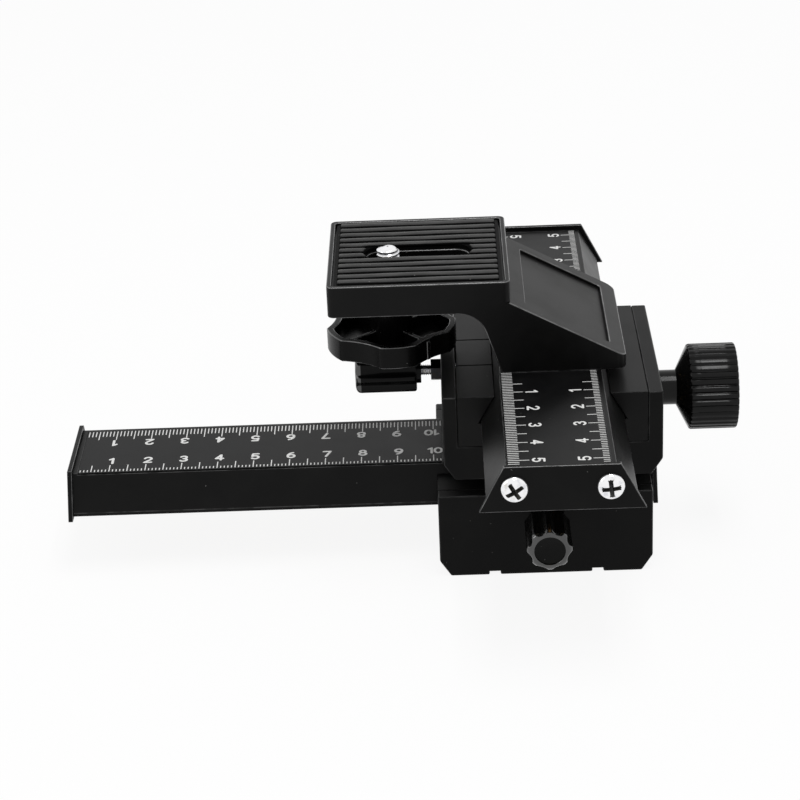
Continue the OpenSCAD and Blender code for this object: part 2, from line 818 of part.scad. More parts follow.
module lower_rail() {
    color(rail_black) difference() {
        at_lower_rail() difference() {
            rail_shape();
            scale_pocket(lower_scale_y, lower_scale_l);
        }
        at_carriage() carriage_screw_places()
            translate([0, 0, -riser_t - carriage_screw_reach - cut])
                cylinder(d = m3_d + 2 * fit, h = carriage_screw_reach + 2 * cut);
    }
}

module lower_rack() {
    color(brass) at_base() rack_shape(lower_shift);
}

module lower_scale() {
    color(plate_black) at_lower_rail() scale_plate(lower_scale_y, lower_scale_l);
}

module lower_left_cap() {
    color(jaw_black) at_lower_rail() rotate([0, 0, 180]) rail_cap();
}

module lower_right_cap() {
    color(jaw_black) at_lower_rail() rail_cap();
}

module lower_cap_screws() {
    color(chrome) at_lower_rail() cap_screws(low_head_d, low_head_h);
}

// Carriage: its pad lies on the lower rail, and its screws go down into the rail
riser_w = rail_top_w - 2 * scale_lip_w;
module carriage_frame() {
    color(case_black) at_carriage() difference() {
        union() {
            difference() {
                frame_shape();
                for (turn = [0, 180]) {
                    rotate([0, 0, turn]) bevel_cut(frame_w / 2, frame_l);
                }
            }
            translate([-riser_l / 2, -riser_w / 2, -riser_t]) cube([riser_l, riser_w, riser_t]);
        }
        translate([0, 0, floor_t]) carriage_screw_places() mirror([0, 0, 1])
            screw_way(floor_t + riser_t);
    }
}

module carriage_fixed_jaw() {
    color(jaw_black) at_carriage() fixed_jaw();
}

module carriage_front_jaw() {
    color(jaw_black) at_carriage() end_jaw(-1);
}

module carriage_rear_jaw() {
    color(jaw_black) at_carriage() end_jaw(1);
}

module carriage_jaw_screws() {
    color(dark_steel) at_carriage() jaw_screws();
}

module carriage_screws() {
    color(dark_steel) at_carriage() translate([0, 0, floor_t - m3_seat]) carriage_screw_places()
        mirror([0, 0, 1]) socket_screw(floor_t - m3_seat + riser_t + carriage_screw_reach);
}

module carriage_lock_nut() {
    color(dark_steel) at_carriage() lock_nut();
}

module carriage_drive_bush() {
    color(brass) at_carriage() drive_bush();
}

// Lock and drive of the upper slide
module carriage_clamp_jaw() {
    color(jaw_black) at_carriage() clamp_jaw();
}

module carriage_lock_screw() {
    color(steel) at_carriage() lock_screw();
}

module carriage_lock_knob() {
    color(knob_black) at_carriage() lock_knob();
}

module carriage_pinion() {
    color(brass) at_carriage() pinion();
}

module carriage_drive_shaft() {
    color(steel) at_carriage() drive_shaft();
}

module carriage_shaft_clip() {
    color(dark_steel) at_carriage() shaft_clip();
}

module carriage_drive_knob() {
    color(knob_black) at_carriage() drive_knob();
}

// Upper rail: its scale plates end at the bracket's foot
front_scale_l = rail_l / 2 - scale_end_gap + bracket_shift - bracket_w / 2;
back_scale_l = rail_l / 2 - scale_end_gap - bracket_shift - bracket_w / 2;
front_scale_y = -rail_l / 2 + scale_end_gap + front_scale_l / 2;
back_scale_y = rail_l / 2 - scale_end_gap - back_scale_l / 2;

module bracket_screw_places() {
    for (x = [-bracket_screw_x, bracket_screw_x], y = [-bracket_screw_y, bracket_screw_y]) {
        translate([x, bracket_shift + y, 0]) children();
    }
}

module upper_rail() {
    color(rail_black) at_upper_rail() difference() {
        rail_shape();
        scale_pocket(front_scale_y, front_scale_l);
        scale_pocket(back_scale_y, back_scale_l);
        translate([0, 0, -rail_h]) bracket_screw_places() screw_way(rail_h);
    }
}

module upper_rack() {
    color(brass) at_carriage() rack_shape(upper_shift);
}

module upper_front_scale() {
    color(plate_black) at_upper_rail() scale_plate(front_scale_y, front_scale_l);
}

module upper_back_scale() {
    color(plate_black) at_upper_rail() scale_plate(back_scale_y, back_scale_l);
}

module upper_front_cap() {
    color(jaw_black) at_upper_rail() rail_cap();
}

module upper_back_cap() {
    color(jaw_black) at_upper_rail() rotate([0, 0, 180]) rail_cap();
}

module upper_cap_screws() {
    color(chrome) at_upper_rail() cap_screws(pan_head_d, pan_head_h);
}

// Camera bracket, with its foot on the rail's top face
plat_x = -plat_reach - plat_l / 2;
plat_under = plat_rise - plat_t;
pad_z = plat_rise - tray_h;
slot_step_z = plat_under + slot_neck_h;
tray_r = plat_corner_r / 2;
slope_top_z = plat_rise - step_h;
slope_angle = atan2(slope_top_z - foot_edge_h, foot_right + plat_reach);
slope_l = norm([foot_right + plat_reach, slope_top_z - foot_edge_h]);
leg_top_x = -foot_left - plat_under * tan(leg_lean);
leg_tangent = leg_r * tan((90 - leg_lean) / 2);

module at_bracket() {
    at_upper_rail() translate([0, bracket_shift, 0]) children();
}

// Leg and foot, with the round inside corner under the platform
module leg_outline() {
    difference() {
        polygon([
            [-foot_left, 0], [foot_right, 0], [foot_right, foot_edge_h],
            [-plat_reach, slope_top_z], [leg_top_x - leg_tangent, slope_top_z],
            [leg_top_x - leg_tangent, plat_under],
            [leg_top_x + leg_tangent * sin(leg_lean), plat_under - leg_tangent * cos(leg_lean)]
        ]);
        translate([leg_top_x - leg_tangent, plat_under - leg_r]) circle(r = leg_r);
    }
}

// A slot between two heights, with round ends
module slot_cut(l, w, z0, z1) {
    translate([plat_x, 0, z0]) {
        translate([-(l - w) / 2, -w / 2, 0]) cube([l - w, w, z1 - z0]);
        for (x = [-(l - w) / 2, (l - w) / 2]) {
            translate([x, 0, 0]) cylinder(d = w, h = z1 - z0);
        }
    }
}

module camera_bracket() {
    color(case_black) at_bracket() difference() {
        union() {
            translate([plat_x, 0, plat_under]) linear_extrude(height = plat_t)
                round_plan(plat_l, bracket_w, plat_corner_r);
            intersection() {
                along_y(0, bracket_w) leg_outline();
                translate([foot_right - plat_l, 0, 0]) linear_extrude(height = plat_rise)
                    round_plan(2 * plat_l, bracket_w, foot_corner_r);
            }
        }
        translate([plat_x, 0, pad_z]) linear_extrude(height = tray_h + cut)
            round_plan(plat_l - 2 * rim_w, bracket_w - 2 * rim_w, tray_r);
        slot_cut(slot_l, slot_w, slot_step_z, plat_rise);
        slot_cut(slot_l - slot_w + slot_neck_w, slot_neck_w, plat_under - cut, plat_rise);
        translate([-plat_reach, 0, slope_top_z]) rotate([0, slope_angle, 0])
            translate([slope_l / 2, 0, -panel_h]) linear_extrude(height = panel_h + cut)
                round_plan(slope_l - 2 * panel_margin, bracket_w - 2 * panel_margin, tray_r);
        translate([0, -bracket_shift, -cut]) bracket_screw_places()
            cylinder(d = m3_d + 2 * fit, h = bracket_screw_reach + 2 * cut);
    }
}

module bracket_screws() {
    color(dark_steel) at_upper_rail() translate([0, 0, m3_seat - rail_h]) bracket_screw_places()
        socket_screw(rail_h - m3_seat + bracket_screw_reach);
}

// Pad in the platform's tray: a sheet with ribs along X and a window over the slot
pad_l = plat_l - 2 * (rim_w + pad_gap);
pad_w = bracket_w - 2 * (rim_w + pad_gap);
pad_rib_l = pad_l - 2 * pad_margin;
pad_rib_pitch = (pad_w - 2 * pad_margin - pad_rib_w) / (pad_ribs - 1);
module camera_pad() {
    color(pad_grey) at_bracket() difference() {
        union() {
            translate([plat_x - pad_l / 2, -pad_w / 2, pad_z]) cube([pad_l, pad_w, pad_sheet_t]);
            for (i = [0:pad_ribs - 1]) {
                translate([plat_x - pad_rib_l / 2,
                        (i - (pad_ribs - 1) / 2) * pad_rib_pitch - pad_rib_w / 2, pad_z])
                    cube([pad_rib_l, pad_rib_w, pad_sheet_t + pad_rib_h]);
            }
        }
        slot_cut(slot_l + 2 * window_gap, slot_w + 2 * window_gap, pad_z - cut, plat_rise + tray_h);
    }
}

// Camera screw: its neck runs in a guide that hangs on the step in the slot
guide_z = slot_step_z + run;
screw_shoulder_z = guide_z + guide_t + float;
screw_tip_z = plat_rise + camera_screw_rise;
screw_tip_h = camera_screw_d / 6;
screw_foot_z = wheel_floor - wheel_drop;
washer_z = plat_under - 2 * float - screw_lift - washer_t;
hub_top_z = washer_z - float;

module at_camera_screw() {
    at_bracket() translate([plat_x - camera_screw_shift, 0, 0]) children();
}

module slot_guide() {
    color(brass) at_camera_screw() difference() {
        union() {
            translate([0, 0, guide_z]) cylinder(d = slot_w - 2 * guide_gap, h = guide_t);
            translate([0, 0, plat_under + float])
                cylinder(d = slot_neck_w - 2 * guide_gap, h = guide_z - plat_under - float);
        }
        translate([0, 0, plat_under - cut]) cylinder(d = screw_neck_d + 2 * run, h = plat_t);
    }
}

module hub_washer() {
    color(dark_steel) at_camera_screw() translate([0, 0, washer_z]) difference() {
        cylinder(d = washer_d, h = washer_t);
        translate([0, 0, -cut]) cylinder(d = screw_neck_d + 2 * run, h = washer_t + 2 * cut);
    }
}

// The thread is cut from a ball that rounds its tip
module camera_screw() {
    color(chrome) at_camera_screw() {
        translate([0, 0, screw_foot_z])
            cylinder(d = screw_neck_d, h = screw_shoulder_z + screw_tip_h - screw_foot_z);
        intersection() {
            translate([0, 0, screw_tip_z - dome_r(camera_screw_d, screw_tip_h)])
                sphere(r = dome_r(camera_screw_d, screw_tip_h));
            translate([0, 0, screw_shoulder_z])
                cylinder(d = camera_screw_d, h = screw_tip_z - screw_shoulder_z + cut);
        }
    }
}

// The wheel's lobes stand between shallow scallops
first_lobe = -83;
first_wheel_rib = -50;
scallop_r = wheel_d * 5 / 9;
scallop_h = wheel_d / 17;
wheel_rib_w = wheel_wall * 2 / 3;
wheel_rib_drop = wheel_wall / 2;

module wheel_outline(inset) {
    rotate(first_lobe) difference() {
        circle(r = wheel_d / 2 - inset);
        for (i = [0:wheel_lobes - 1]) {
            rotate((i + 1 / 2) * 360 / wheel_lobes)
                translate([wheel_d / 2 + scallop_r - scallop_h, 0]) circle(r = scallop_r + inset);
        }
    }
}

module thumb_wheel() {
    color(knob_black) at_camera_screw() translate([0, 0, -wheel_drop]) difference() {
        union() {
            difference() {
                linear_extrude(height = wheel_h) wheel_outline(0);
                translate([0, 0, wheel_floor]) linear_extrude(height = wheel_h)
                    wheel_outline(wheel_wall);
            }
            cylinder(d = hub_d, h = hub_top_z + wheel_drop);
            for (i = [0:wheel_ribs - 1]) {
                rotate(first_wheel_rib + i * 360 / wheel_ribs) translate([0, -wheel_rib_w / 2, 0])
                    cube([wheel_d / 2 - wheel_wall, wheel_rib_w, wheel_h - wheel_rib_drop]);
            }
        }
        translate([0, 0, wheel_floor - fit])
            cylinder(d = screw_neck_d + 2 * fit, h = plat_rise);
    }
}

base_frame();
base_fixed_jaw();
base_left_jaw();
base_right_jaw();
base_jaw_screws();
tripod_insert();
base_lock_nut();
base_drive_bush();
base_clamp_jaw();
base_lock_screw();
base_lock_knob();
base_pinion();
base_drive_shaft();
base_shaft_clip();
base_drive_knob();
lower_rail();
lower_rack();
lower_scale();
lower_left_cap();
lower_right_cap();
lower_cap_screws();
carriage_frame();
carriage_fixed_jaw();
carriage_front_jaw();
carriage_rear_jaw();
carriage_jaw_screws();
carriage_screws();
carriage_lock_nut();
carriage_drive_bush();
carriage_clamp_jaw();
carriage_lock_screw();
carriage_lock_knob();
carriage_pinion();
carriage_drive_shaft();
carriage_shaft_clip();
carriage_drive_knob();
upper_rail();
upper_rack();
upper_front_scale();
upper_back_scale();
upper_front_cap();
upper_back_cap();
upper_cap_screws();
camera_bracket();
bracket_screws();
camera_pad();
slot_guide();
hub_washer();
camera_screw();
thumb_wheel();
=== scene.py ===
import json
import logging
import math
from dataclasses import dataclass, replace
from enum import Enum
from typing import Callable, Mapping, Optional, Sequence, Union

import bmesh
import bpy
from mathutils import Matrix, Vector

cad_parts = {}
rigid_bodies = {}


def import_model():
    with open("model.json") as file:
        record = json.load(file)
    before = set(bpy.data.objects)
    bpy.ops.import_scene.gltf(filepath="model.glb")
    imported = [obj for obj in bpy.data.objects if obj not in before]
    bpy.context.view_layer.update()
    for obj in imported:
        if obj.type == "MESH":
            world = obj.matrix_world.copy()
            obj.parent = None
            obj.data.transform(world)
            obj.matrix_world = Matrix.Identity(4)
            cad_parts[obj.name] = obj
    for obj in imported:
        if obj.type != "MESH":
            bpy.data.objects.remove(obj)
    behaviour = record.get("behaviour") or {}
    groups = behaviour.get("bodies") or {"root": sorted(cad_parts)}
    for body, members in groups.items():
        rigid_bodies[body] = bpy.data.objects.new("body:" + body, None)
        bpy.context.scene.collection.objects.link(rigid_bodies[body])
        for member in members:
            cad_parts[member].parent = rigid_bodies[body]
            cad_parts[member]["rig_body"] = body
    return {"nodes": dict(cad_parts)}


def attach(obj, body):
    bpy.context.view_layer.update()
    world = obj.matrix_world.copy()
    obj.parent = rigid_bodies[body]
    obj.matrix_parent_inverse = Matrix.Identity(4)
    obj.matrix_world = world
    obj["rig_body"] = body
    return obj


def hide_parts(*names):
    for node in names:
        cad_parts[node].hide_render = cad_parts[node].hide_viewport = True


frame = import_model()

log = logging.getLogger("focusing_rail")

MM = 0.001
FULL_TURN = 2.0 * math.pi

Colour = tuple[float, float, float]
Place = tuple[float, float, float]
Point = tuple[float, float]
Number = Union[float, "Signal"]
Solid = bmesh.types.BMesh
Ring = Sequence[bmesh.types.BMVert]

RIGHT: Place = (1.0, 0.0, 0.0)
BACK: Place = (0.0, 1.0, 0.0)
UP: Place = (0.0, 0.0, 1.0)


class Slot(Enum):
    """The record's material slots, which the finishes name."""

    ANODISED = "black_anodised"
    MOULDED = "moulded_black"
    SCALE = "scale_black"
    CHROME = "chrome"
    STEEL = "bare_steel"
    RUBBER = "pad_rubber"


class Body(Enum):
    """The moving bodies that pieces ride on."""

    BLOCK = "tripod_block"
    LOWER_CLAMP = "lower_clamp"
    LOWER_LOCK = "lower_lock"
    LOWER_DRIVE = "lower_drive"
    CARRIAGE = "lower_carriage"
    UPPER_CLAMP = "upper_clamp"
    UPPER_LOCK = "upper_lock"
    UPPER_DRIVE = "upper_drive"
    UPPER = "upper_carriage"
    SCREW = "camera_screw_unit"


# Shader maths


class Signal:
    """A node's output with arithmetic, where each sign adds a Math node."""

    def __init__(
        self, shader: "Shader", node: bpy.types.Node, key: Union[str, int] = 0
    ) -> None:
        """Keep the shader, the node and the name or number of its output."""
        self.shader = shader
        self.node = node
        self.key = key

    @property
    def socket(self) -> bpy.types.NodeSocket:
        """Return the output's socket."""
        return self.node.outputs[self.key]

    def output(self, name: str) -> "Signal":
        """Return another output of the same node."""
        return Signal(self.shader, self.node, name)

    def maths(self, operation: str, *values: Number) -> "Signal":
        """Return the result of a Math node with these inputs."""
        settings = {"operation": operation}
        return self.shader.add("ShaderNodeMath", settings, dict(enumerate(values)))

    def __add__(self, other: Number) -> "Signal":
        """Return self + other."""
        return self.maths("ADD", self, other)

    def __radd__(self, other: Number) -> "Signal":
        """Return other + self."""
        return self.maths("ADD", other, self)

    def __sub__(self, other: Number) -> "Signal":
        """Return self - other."""
        return self.maths("SUBTRACT", self, other)

    def __rsub__(self, other: Number) -> "Signal":
        """Return other - self."""
        return self.maths("SUBTRACT", other, self)

    def __mul__(self, other: Number) -> "Signal":
        """Return self * other."""
        return self.maths("MULTIPLY", self, other)

    def __rmul__(self, other: Number) -> "Signal":
        """Return other * self."""
        return self.maths("MULTIPLY", other, self)

    def __lt__(self, other: Number) -> "Signal":
        """Return 1 where self is below other, and 0 elsewhere."""
        return self.maths("LESS_THAN", self, other)

    def most(self, other: Number) -> "Signal":
        """Return the greater of self and other."""
        return self.maths("MAXIMUM", self, other)

    def clear(self, low: float, high: float) -> "Signal":
        """Return a smooth step from 0 to 1.

        Args:
            low: The value that becomes 0.
            high: The value that becomes 1.

        Returns:
            The step.
        """
        inputs = {"Value": self, "From Min": low, "From Max": high}
        return self.shader.add(
            "ShaderNodeMapRange", {"interpolation_type": "SMOOTHSTEP"}, inputs
        )


class Shader:
    """The node tree of one material, or of the world."""

    def __init__(self, tree: bpy.types.NodeTree) -> None:
        """Empty the tree."""
        tree.nodes.clear()
        self.tree = tree

    def add(
        self,
        kind: str,
        settings: Mapping[str, object] = {},
        inputs: Mapping[Union[str, int], object] = {},
        output: Union[str, int] = 0,
    ) -> Signal:
        """Add a node.

        Args:
            kind: The node's type.
            settings: Its properties, which are set first.
            inputs: Values or signals for its sockets, by name or number.
            output: The output to return, by name or number.

        Returns:
            The output.
        """
        node = self.tree.nodes.new(kind)
        for name, value in settings.items():
            setattr(node, name, value)
        for name, value in inputs.items():
            if isinstance(value, Signal):
                self.tree.links.new(value.socket, node.inputs[name])
            else:
                node.inputs[name].default_value = value
        return Signal(self, node, output)

    def vector(
        self, operation: str, *values: object, output: Union[str, int] = 0
    ) -> Signal:
        """Return the result of a Vector Math node with these inputs."""
        settings = {"operation": operation}
        return self.add("ShaderNodeVectorMath", settings, dict(enumerate(values)), output)

    def place(self, stretch: Place = (1.0, 1.0, 1.0)) -> Signal:
        """Return the place on the object in millimetres.

        Args:
            stretch: Factors on X, Y and Z; a small one draws marks out along that axis.

        Returns:
            The place.
        """
        where = self.add("ShaderNodeTexCoord", output="Object")
        return self.vector("MULTIPLY", where, tuple(part / MM for part in stretch))

    def height(self) -> Signal:
        """Return the height above the table in millimetres."""
        return self.add("ShaderNodeSeparateXYZ", {}, {0: self.place()}, "Z")

    def noise(self, where: Signal, size: float, detail: float = 2.0) -> Signal:
        """Return a noise from 0 to 1.

        Args:
            where: The place in millimetres.
            size: The width of its spots in millimetres.
            detail: How many finer noises lie on it.

        Returns:
            The noise.
        """
        inputs = {"Vector": where, "Scale": 1.0 / size, "Detail": detail, "Roughness": 0.55}
        return self.add("ShaderNodeTexNoise", {}, inputs, "Fac")

    def blend(
        self, factor: Number, first: Union[Signal, Colour], second: Union[Signal, Colour]
    ) -> Signal:
        """Return a mix of two colours.

        Args:
            factor: The share of the second colour.
            first: The colour at 0.
            second: The colour at 1.

        Returns:
            The mixed colour.
        """
        ends = [c if isinstance(c, Signal) else (*c, 1.0) for c in (first, second)]
        inputs = {0: factor, 6: ends[0], 7: ends[1]}
        return self.add("ShaderNodeMix", {"data_type": "RGBA"}, inputs, 2)

    def rounded(self, radius: float) -> Signal:
        """Return the surface's normal with edges rounded by a radius in millimetres."""
        return self.add("ShaderNodeBevel", {"samples": 6}, {"Radius": radius * MM})

    def bump(self, height: Signal, depth: float, normal: Optional[Signal] = None) -> Signal:
        """Return a normal with a relief on it.

        Args:
            height: The relief, from 0 to 1.
            depth: Its depth in millimetres.
            normal: The normal under it, where that isn't the surface's own.

        Returns:
            The normal.
        """
        inputs = {"Strength": 1.0, "Distance": depth * MM, "Height": height}
        if normal is not None:
            inputs["Normal"] = normal
        return self.add("ShaderNodeBump", {}, inputs)

    def principled(
        self,
        colour: Signal,
        roughness: Number,
        gloss: float = 0.5,
        normal: Optional[Signal] = None,
        others: Mapping[str, object] = {},
    ) -> Signal:
        """Return a Principled surface.

        Args:
            colour: Its base colour.
            roughness: Its roughness.
            gloss: Its specular level.
            normal: Its normal, where that isn't the surface's own.
            others: Values or signals for its other sockets.

        Returns:
            The surface.
        """
        inputs = {"Base Color": colour, "Roughness": roughness}
        inputs |= {"Specular IOR Level": gloss, **others}
        if normal is not None:
            inputs["Normal"] = normal
        return self.add("ShaderNodeBsdfPrincipled", {}, inputs)

    def seen(self) -> Signal:
        """Return 1 for what is seen directly, in a gloss or through glass, and 0 elsewhere."""
        path = self.add("ShaderNodeLightPath", output="Is Camera Ray")
        either = path.most(path.output("Is Glossy Ray"))
        return either.most(path.output("Is Transmission Ray"))


# Finishes


@dataclass(frozen=True)
class Dust:
    """Scattered round specks, in millimetres."""

    gap: float
    width: float
    share: float
    strength: float
    colour: Colour = (0.3, 0.3, 0.29)

    def on(self, shader: Shader, tone: Signal) -> Signal:
        """Scatter the specks on a colour.

        Args:
            shader: The tree that the finish is built in.
            tone: The colour.

        Returns:
            The colour with its specks.
        """
        inputs = {"Vector": shader.place(), "Scale": 1.0 / self.gap}
        cell = shader.add("ShaderNodeTexVoronoi", {}, inputs, "Distance")
        pick = shader.add("ShaderNodeSeparateColor", {}, {0: cell.output("Color")})
        reach = pick.output("Green") * (self.width / self.gap / 2.0)
        held = (cell < reach) * (pick < self.share)
        return shader.blend(held * self.strength, tone, self.colour)


@dataclass(frozen=True)
class Finish:
    """What every finish has: a name, a slot, and a material that is made once."""

    name: str
    slot: Optional[Slot] = None

    def material(self) -> bpy.types.Material:
        """Return the finish's material.

        Returns:
            The material, made at its first use.
        """
        found = bpy.data.materials.get(self.name)
        if found:
            return found
        made = bpy.data.materials.new(self.name)
        made.use_nodes = True
        shader = Shader(made.node_tree)
        shader.add("ShaderNodeOutputMaterial", {}, {"Surface": self.surface(shader)})
        return made

    def surface(self, shader: Shader) -> Signal:
        """Build the surface; each kind of finish has its own."""
        raise NotImplementedError


@dataclass(frozen=True)
class BlackCoat(Finish):
    """Black anodising or moulded plastic, with a fine grain, soft patches and dust."""

    colour: Colour = (0.0026, 0.0026, 0.0026)
    patch_colour: Colour = (0.0045, 0.0045, 0.0043)
    # Edge colour and its share: wear from handling, and also a painted highlight on the rounded
    # edges.
    rubbed_colour: Colour = (0.13, 0.13, 0.13)
    rubbed_share: float = 0.3
    rubbed_polish: float = 0.12
    rubbed: bool = False
    patch_rough: float = 0.06
    grain_rough: float = 0.08
    roughness: float = 0.4
    gloss: float = 0.1
    edge_gloss: float = 0.35
    grain: float = 0.2
    grain_depth: float = 0.003
    drawn: Place = (1.0, 1.0, 1.0)
    dust: Dust = Dust(2.6, 0.34, 0.5, 0.5, (0.2, 0.2, 0.19))

    def at_edges(self) -> "BlackCoat":
        """Return this finish as it is on rounded edges, lightened there partly as wear from
        handling and partly as a painted highlight.
        """
        return replace(self, name=self.name + "_edges", rubbed=True, gloss=self.edge_gloss)

    def surface(self, shader: Shader) -> Signal:
        """Build the surface.

        Args:
            shader: The tree that it is built in.

        Returns:
            The surface.
        """
        where = shader.place()
        fine = shader.noise(shader.place(self.drawn), self.grain, detail=3.0)
        patch = shader.noise(where, size=14.0, detail=4.0).clear(0.35, 0.75)
        tone = shader.blend(patch, self.colour, self.patch_colour)
        rough = self.roughness + self.patch_rough * (patch - 0.5)
        rough = rough + self.grain_rough * (fine - 0.5)
        # Rounded edges are lightened towards a grey: partly wear, partly a painted highlight that
        # stands in for the lamps' lines on them.
        if self.rubbed:
            wear_and_highlight_patches = shader.noise(where, size=5.0, detail=5.0).clear(0.38, 0.62)
            share = wear_and_highlight_patches * self.rubbed_share + 0.1 * self.rubbed_share
            tone = shader.blend(share, tone, self.rubbed_colour)
            rough = rough - self.rubbed_polish
        relief = shader.bump(fine, self.grain_depth)
        return shader.principled(self.dust.on(shader, tone), rough, self.gloss, relief)


@dataclass(frozen=True)
class PrintedPlate(Finish):
    """The satin black sheet under the scales."""

    colour: Colour = (0.0028, 0.0028, 0.0029)
    patch_rise: float = 1.7
    roughness: float = 0.34
    gloss: float = 0.1
    dust: Dust = Dust(4.0, 0.28, 0.4, 0.7)

    def surface(self, shader: Shader) -> Signal:
        """Build the surface.

        Args:
            shader: The tree that it is built in.

        Returns:
            The surface.
        """
        where = shader.place()
        fine = shader.noise(where, size=0.25, detail=3.0)
        patch = shader.noise(where, size=9.0, detail=3.0).clear(0.35, 0.7)
        lighter = tuple(part * self.patch_rise for part in self.colour)
        tone = self.dust.on(shader, shader.blend(patch, self.colour, lighter))
        rough = self.roughness + 0.06 * (patch - 0.5) + 0.06 * (fine - 0.5)
        return shader.principled(tone, rough, self.gloss, shader.bump(fine, 0.002))


@dataclass(frozen=True)
class WhiteInk(Finish):
    """The printed marks, a little thin in places."""

    colour: Colour = (0.78, 0.78, 0.77)
    thin_share: float = 0.8
    gloss: float = 0.3

    def surface(self, shader: Shader) -> Signal:
        """Build the surface.

        Args:
            shader: The tree that it is built in.

        Returns:
            The surface.
        """
        where = shader.place()
        full = shader.noise(where, size=0.4, detail=3.0).clear(0.3, 0.55)
        thin = tuple(part * self.thin_share for part in self.colour)
        rough = 0.45 + 0.1 * shader.noise(where, size=0.2)
        return shader.principled(shader.blend(full, thin, self.colour), rough, self.gloss)


@dataclass(frozen=True)
class BareMetal(Finish):
    """Plated, turned or blackened metal with fine marks, and two faint tints that are partly stains
    and partly painted reflections.
    """

    colour: Colour = (0.78, 0.78, 0.8)
    cool_colour: Colour = (0.55, 0.57, 0.62)
    warm_colour: Colour = (0.6, 0.57, 0.5)
    stain: float = 0.6
    roughness: float = 0.16
    edge: float = 0.06
    thread_at: Optional[Point] = None
    root_r: float = 2.6
    crest_r: float = 3.1
    bright_above: Point = (83.75, 83.85)
    root_colour: Colour = (0.05, 0.05, 0.055)

    def in_roots(self, shader: Shader, tone: Signal) -> Signal:
        """Darken a thread's roots, except above a height near its tip.

        Args:
            shader: The tree that the finish is built in.
            tone: The metal's colour.

        Returns:
            The colour, darker near the thread's axis.
        """
        aside = shader.vector("SUBTRACT", shader.place(), (*self.thread_at, 0.0))
        flat = shader.vector("MULTIPLY", aside, (1.0, 1.0, 0.0))
        reach = shader.vector("LENGTH", flat, output="Value")
        wide = reach.clear(self.root_r, self.crest_r)
        tip = shader.height().clear(*self.bright_above)
        return shader.blend(wide.most(tip), self.root_colour, tone)

    def surface(self, shader: Shader) -> Signal:
        """Build the surface.

        Args:
            shader: The tree that it is built in.

        Returns:
            The surface.
        """
        where = shader.place()
        lines = shader.noise(where, size=0.12)
        cool = shader.noise(where, size=1.6, detail=4.0).clear(0.5, 0.72)
        aside = shader.place((1.3, 1.1, 0.9))
        warm = shader.noise(aside, size=2.4, detail=4.0).clear(0.52, 0.74)
        # The cool and warm tints are partly stains and partly painted reflections of the
        # surroundings.
        tone = shader.blend(cool * self.stain, self.colour, self.cool_colour)
        tone = shader.blend(warm * self.stain, tone, self.warm_colour)
        if self.thread_at:
            tone = self.in_roots(shader, tone)
        rough = self.roughness + 0.06 * warm + 0.05 * (lines - 0.5)
        normal = shader.bump(lines, 0.0012, shader.rounded(self.edge))
        return shader.principled(tone, rough, normal=normal, others={"Metallic": 1.0})


@dataclass(frozen=True)
class Rubber(Finish):
    """The pad's black rubber: its rib tops carry a coat, polished by use, and are painted lighter
    as painted light on them; its grooves keep the dark base colour.
    """

    colour: Colour = (0.004, 0.004, 0.004)
    worn_colour: Colour = (0.06, 0.06, 0.059)
    groove_z: float = 83.0
    crown_z: float = 83.42
    roughness: float = 0.42
    gloss: float = 0.02
    coat: float = 0.55
    coat_roughness: float = 0.4
    coat_ior: float = 1.25
    dust: Dust = Dust(1.9, 0.34, 0.6, 0.6)

    def surface(self, shader: Shader) -> Signal:
        """Build the surface.

        Args:
            shader: The tree that it is built in.

        Returns:
            The surface.
        """
        crown = shader.height().clear(self.groove_z, self.crown_z)
        fine = shader.noise(shader.place(), size=0.22, detail=4.0)
        along = shader.place((0.3, 1.0, 1.0))
        bloom = shader.noise(along, size=2.2, detail=4.0).clear(0.3, 0.75)
        # Painted light: the colour rises towards the rib tops with height, with a patchy noise
        # along them.
        tone = shader.blend(crown * (0.55 + 0.45 * bloom), self.colour, self.worn_colour)
        rough = self.roughness + 0.12 * (fine - 0.5)
        coat = {
            "Coat Weight": crown * self.coat,
            "Coat Roughness": self.coat_roughness,
            "Coat IOR": self.coat_ior,
        }
        relief = shader.bump(fine, 0.01)
        return shader.principled(self.dust.on(shader, tone), rough, self.gloss, relief, coat)


@dataclass(frozen=True)
class StudioPaper(Finish):
    """The white floor, which shows white and keeps a soft shadow."""

    own_light: float = 0.9
    tones: tuple[Colour, Colour] = ((0.93, 0.93, 0.93), (0.96, 0.96, 0.96))

    def surface(self, shader: Shader) -> Signal:
        """Build the surface.

        Args:
            shader: The tree that it is built in.

        Returns:
            The surface.
        """
        tone = shader.blend(shader.noise(shader.place(), size=30.0), *self.tones)
        paper = shader.principled(tone, 0.9, gloss=0.0)
        glow = {"Color": (1.0, 1.0, 1.0, 1.0), "Strength": 1.0}
        light = shader.add("ShaderNodeEmission", {}, glow)
        share = shader.seen() * self.own_light
        return shader.add("ShaderNodeMixShader", {}, {0: share, 1: paper, 2: light})


# The finishes of this rail

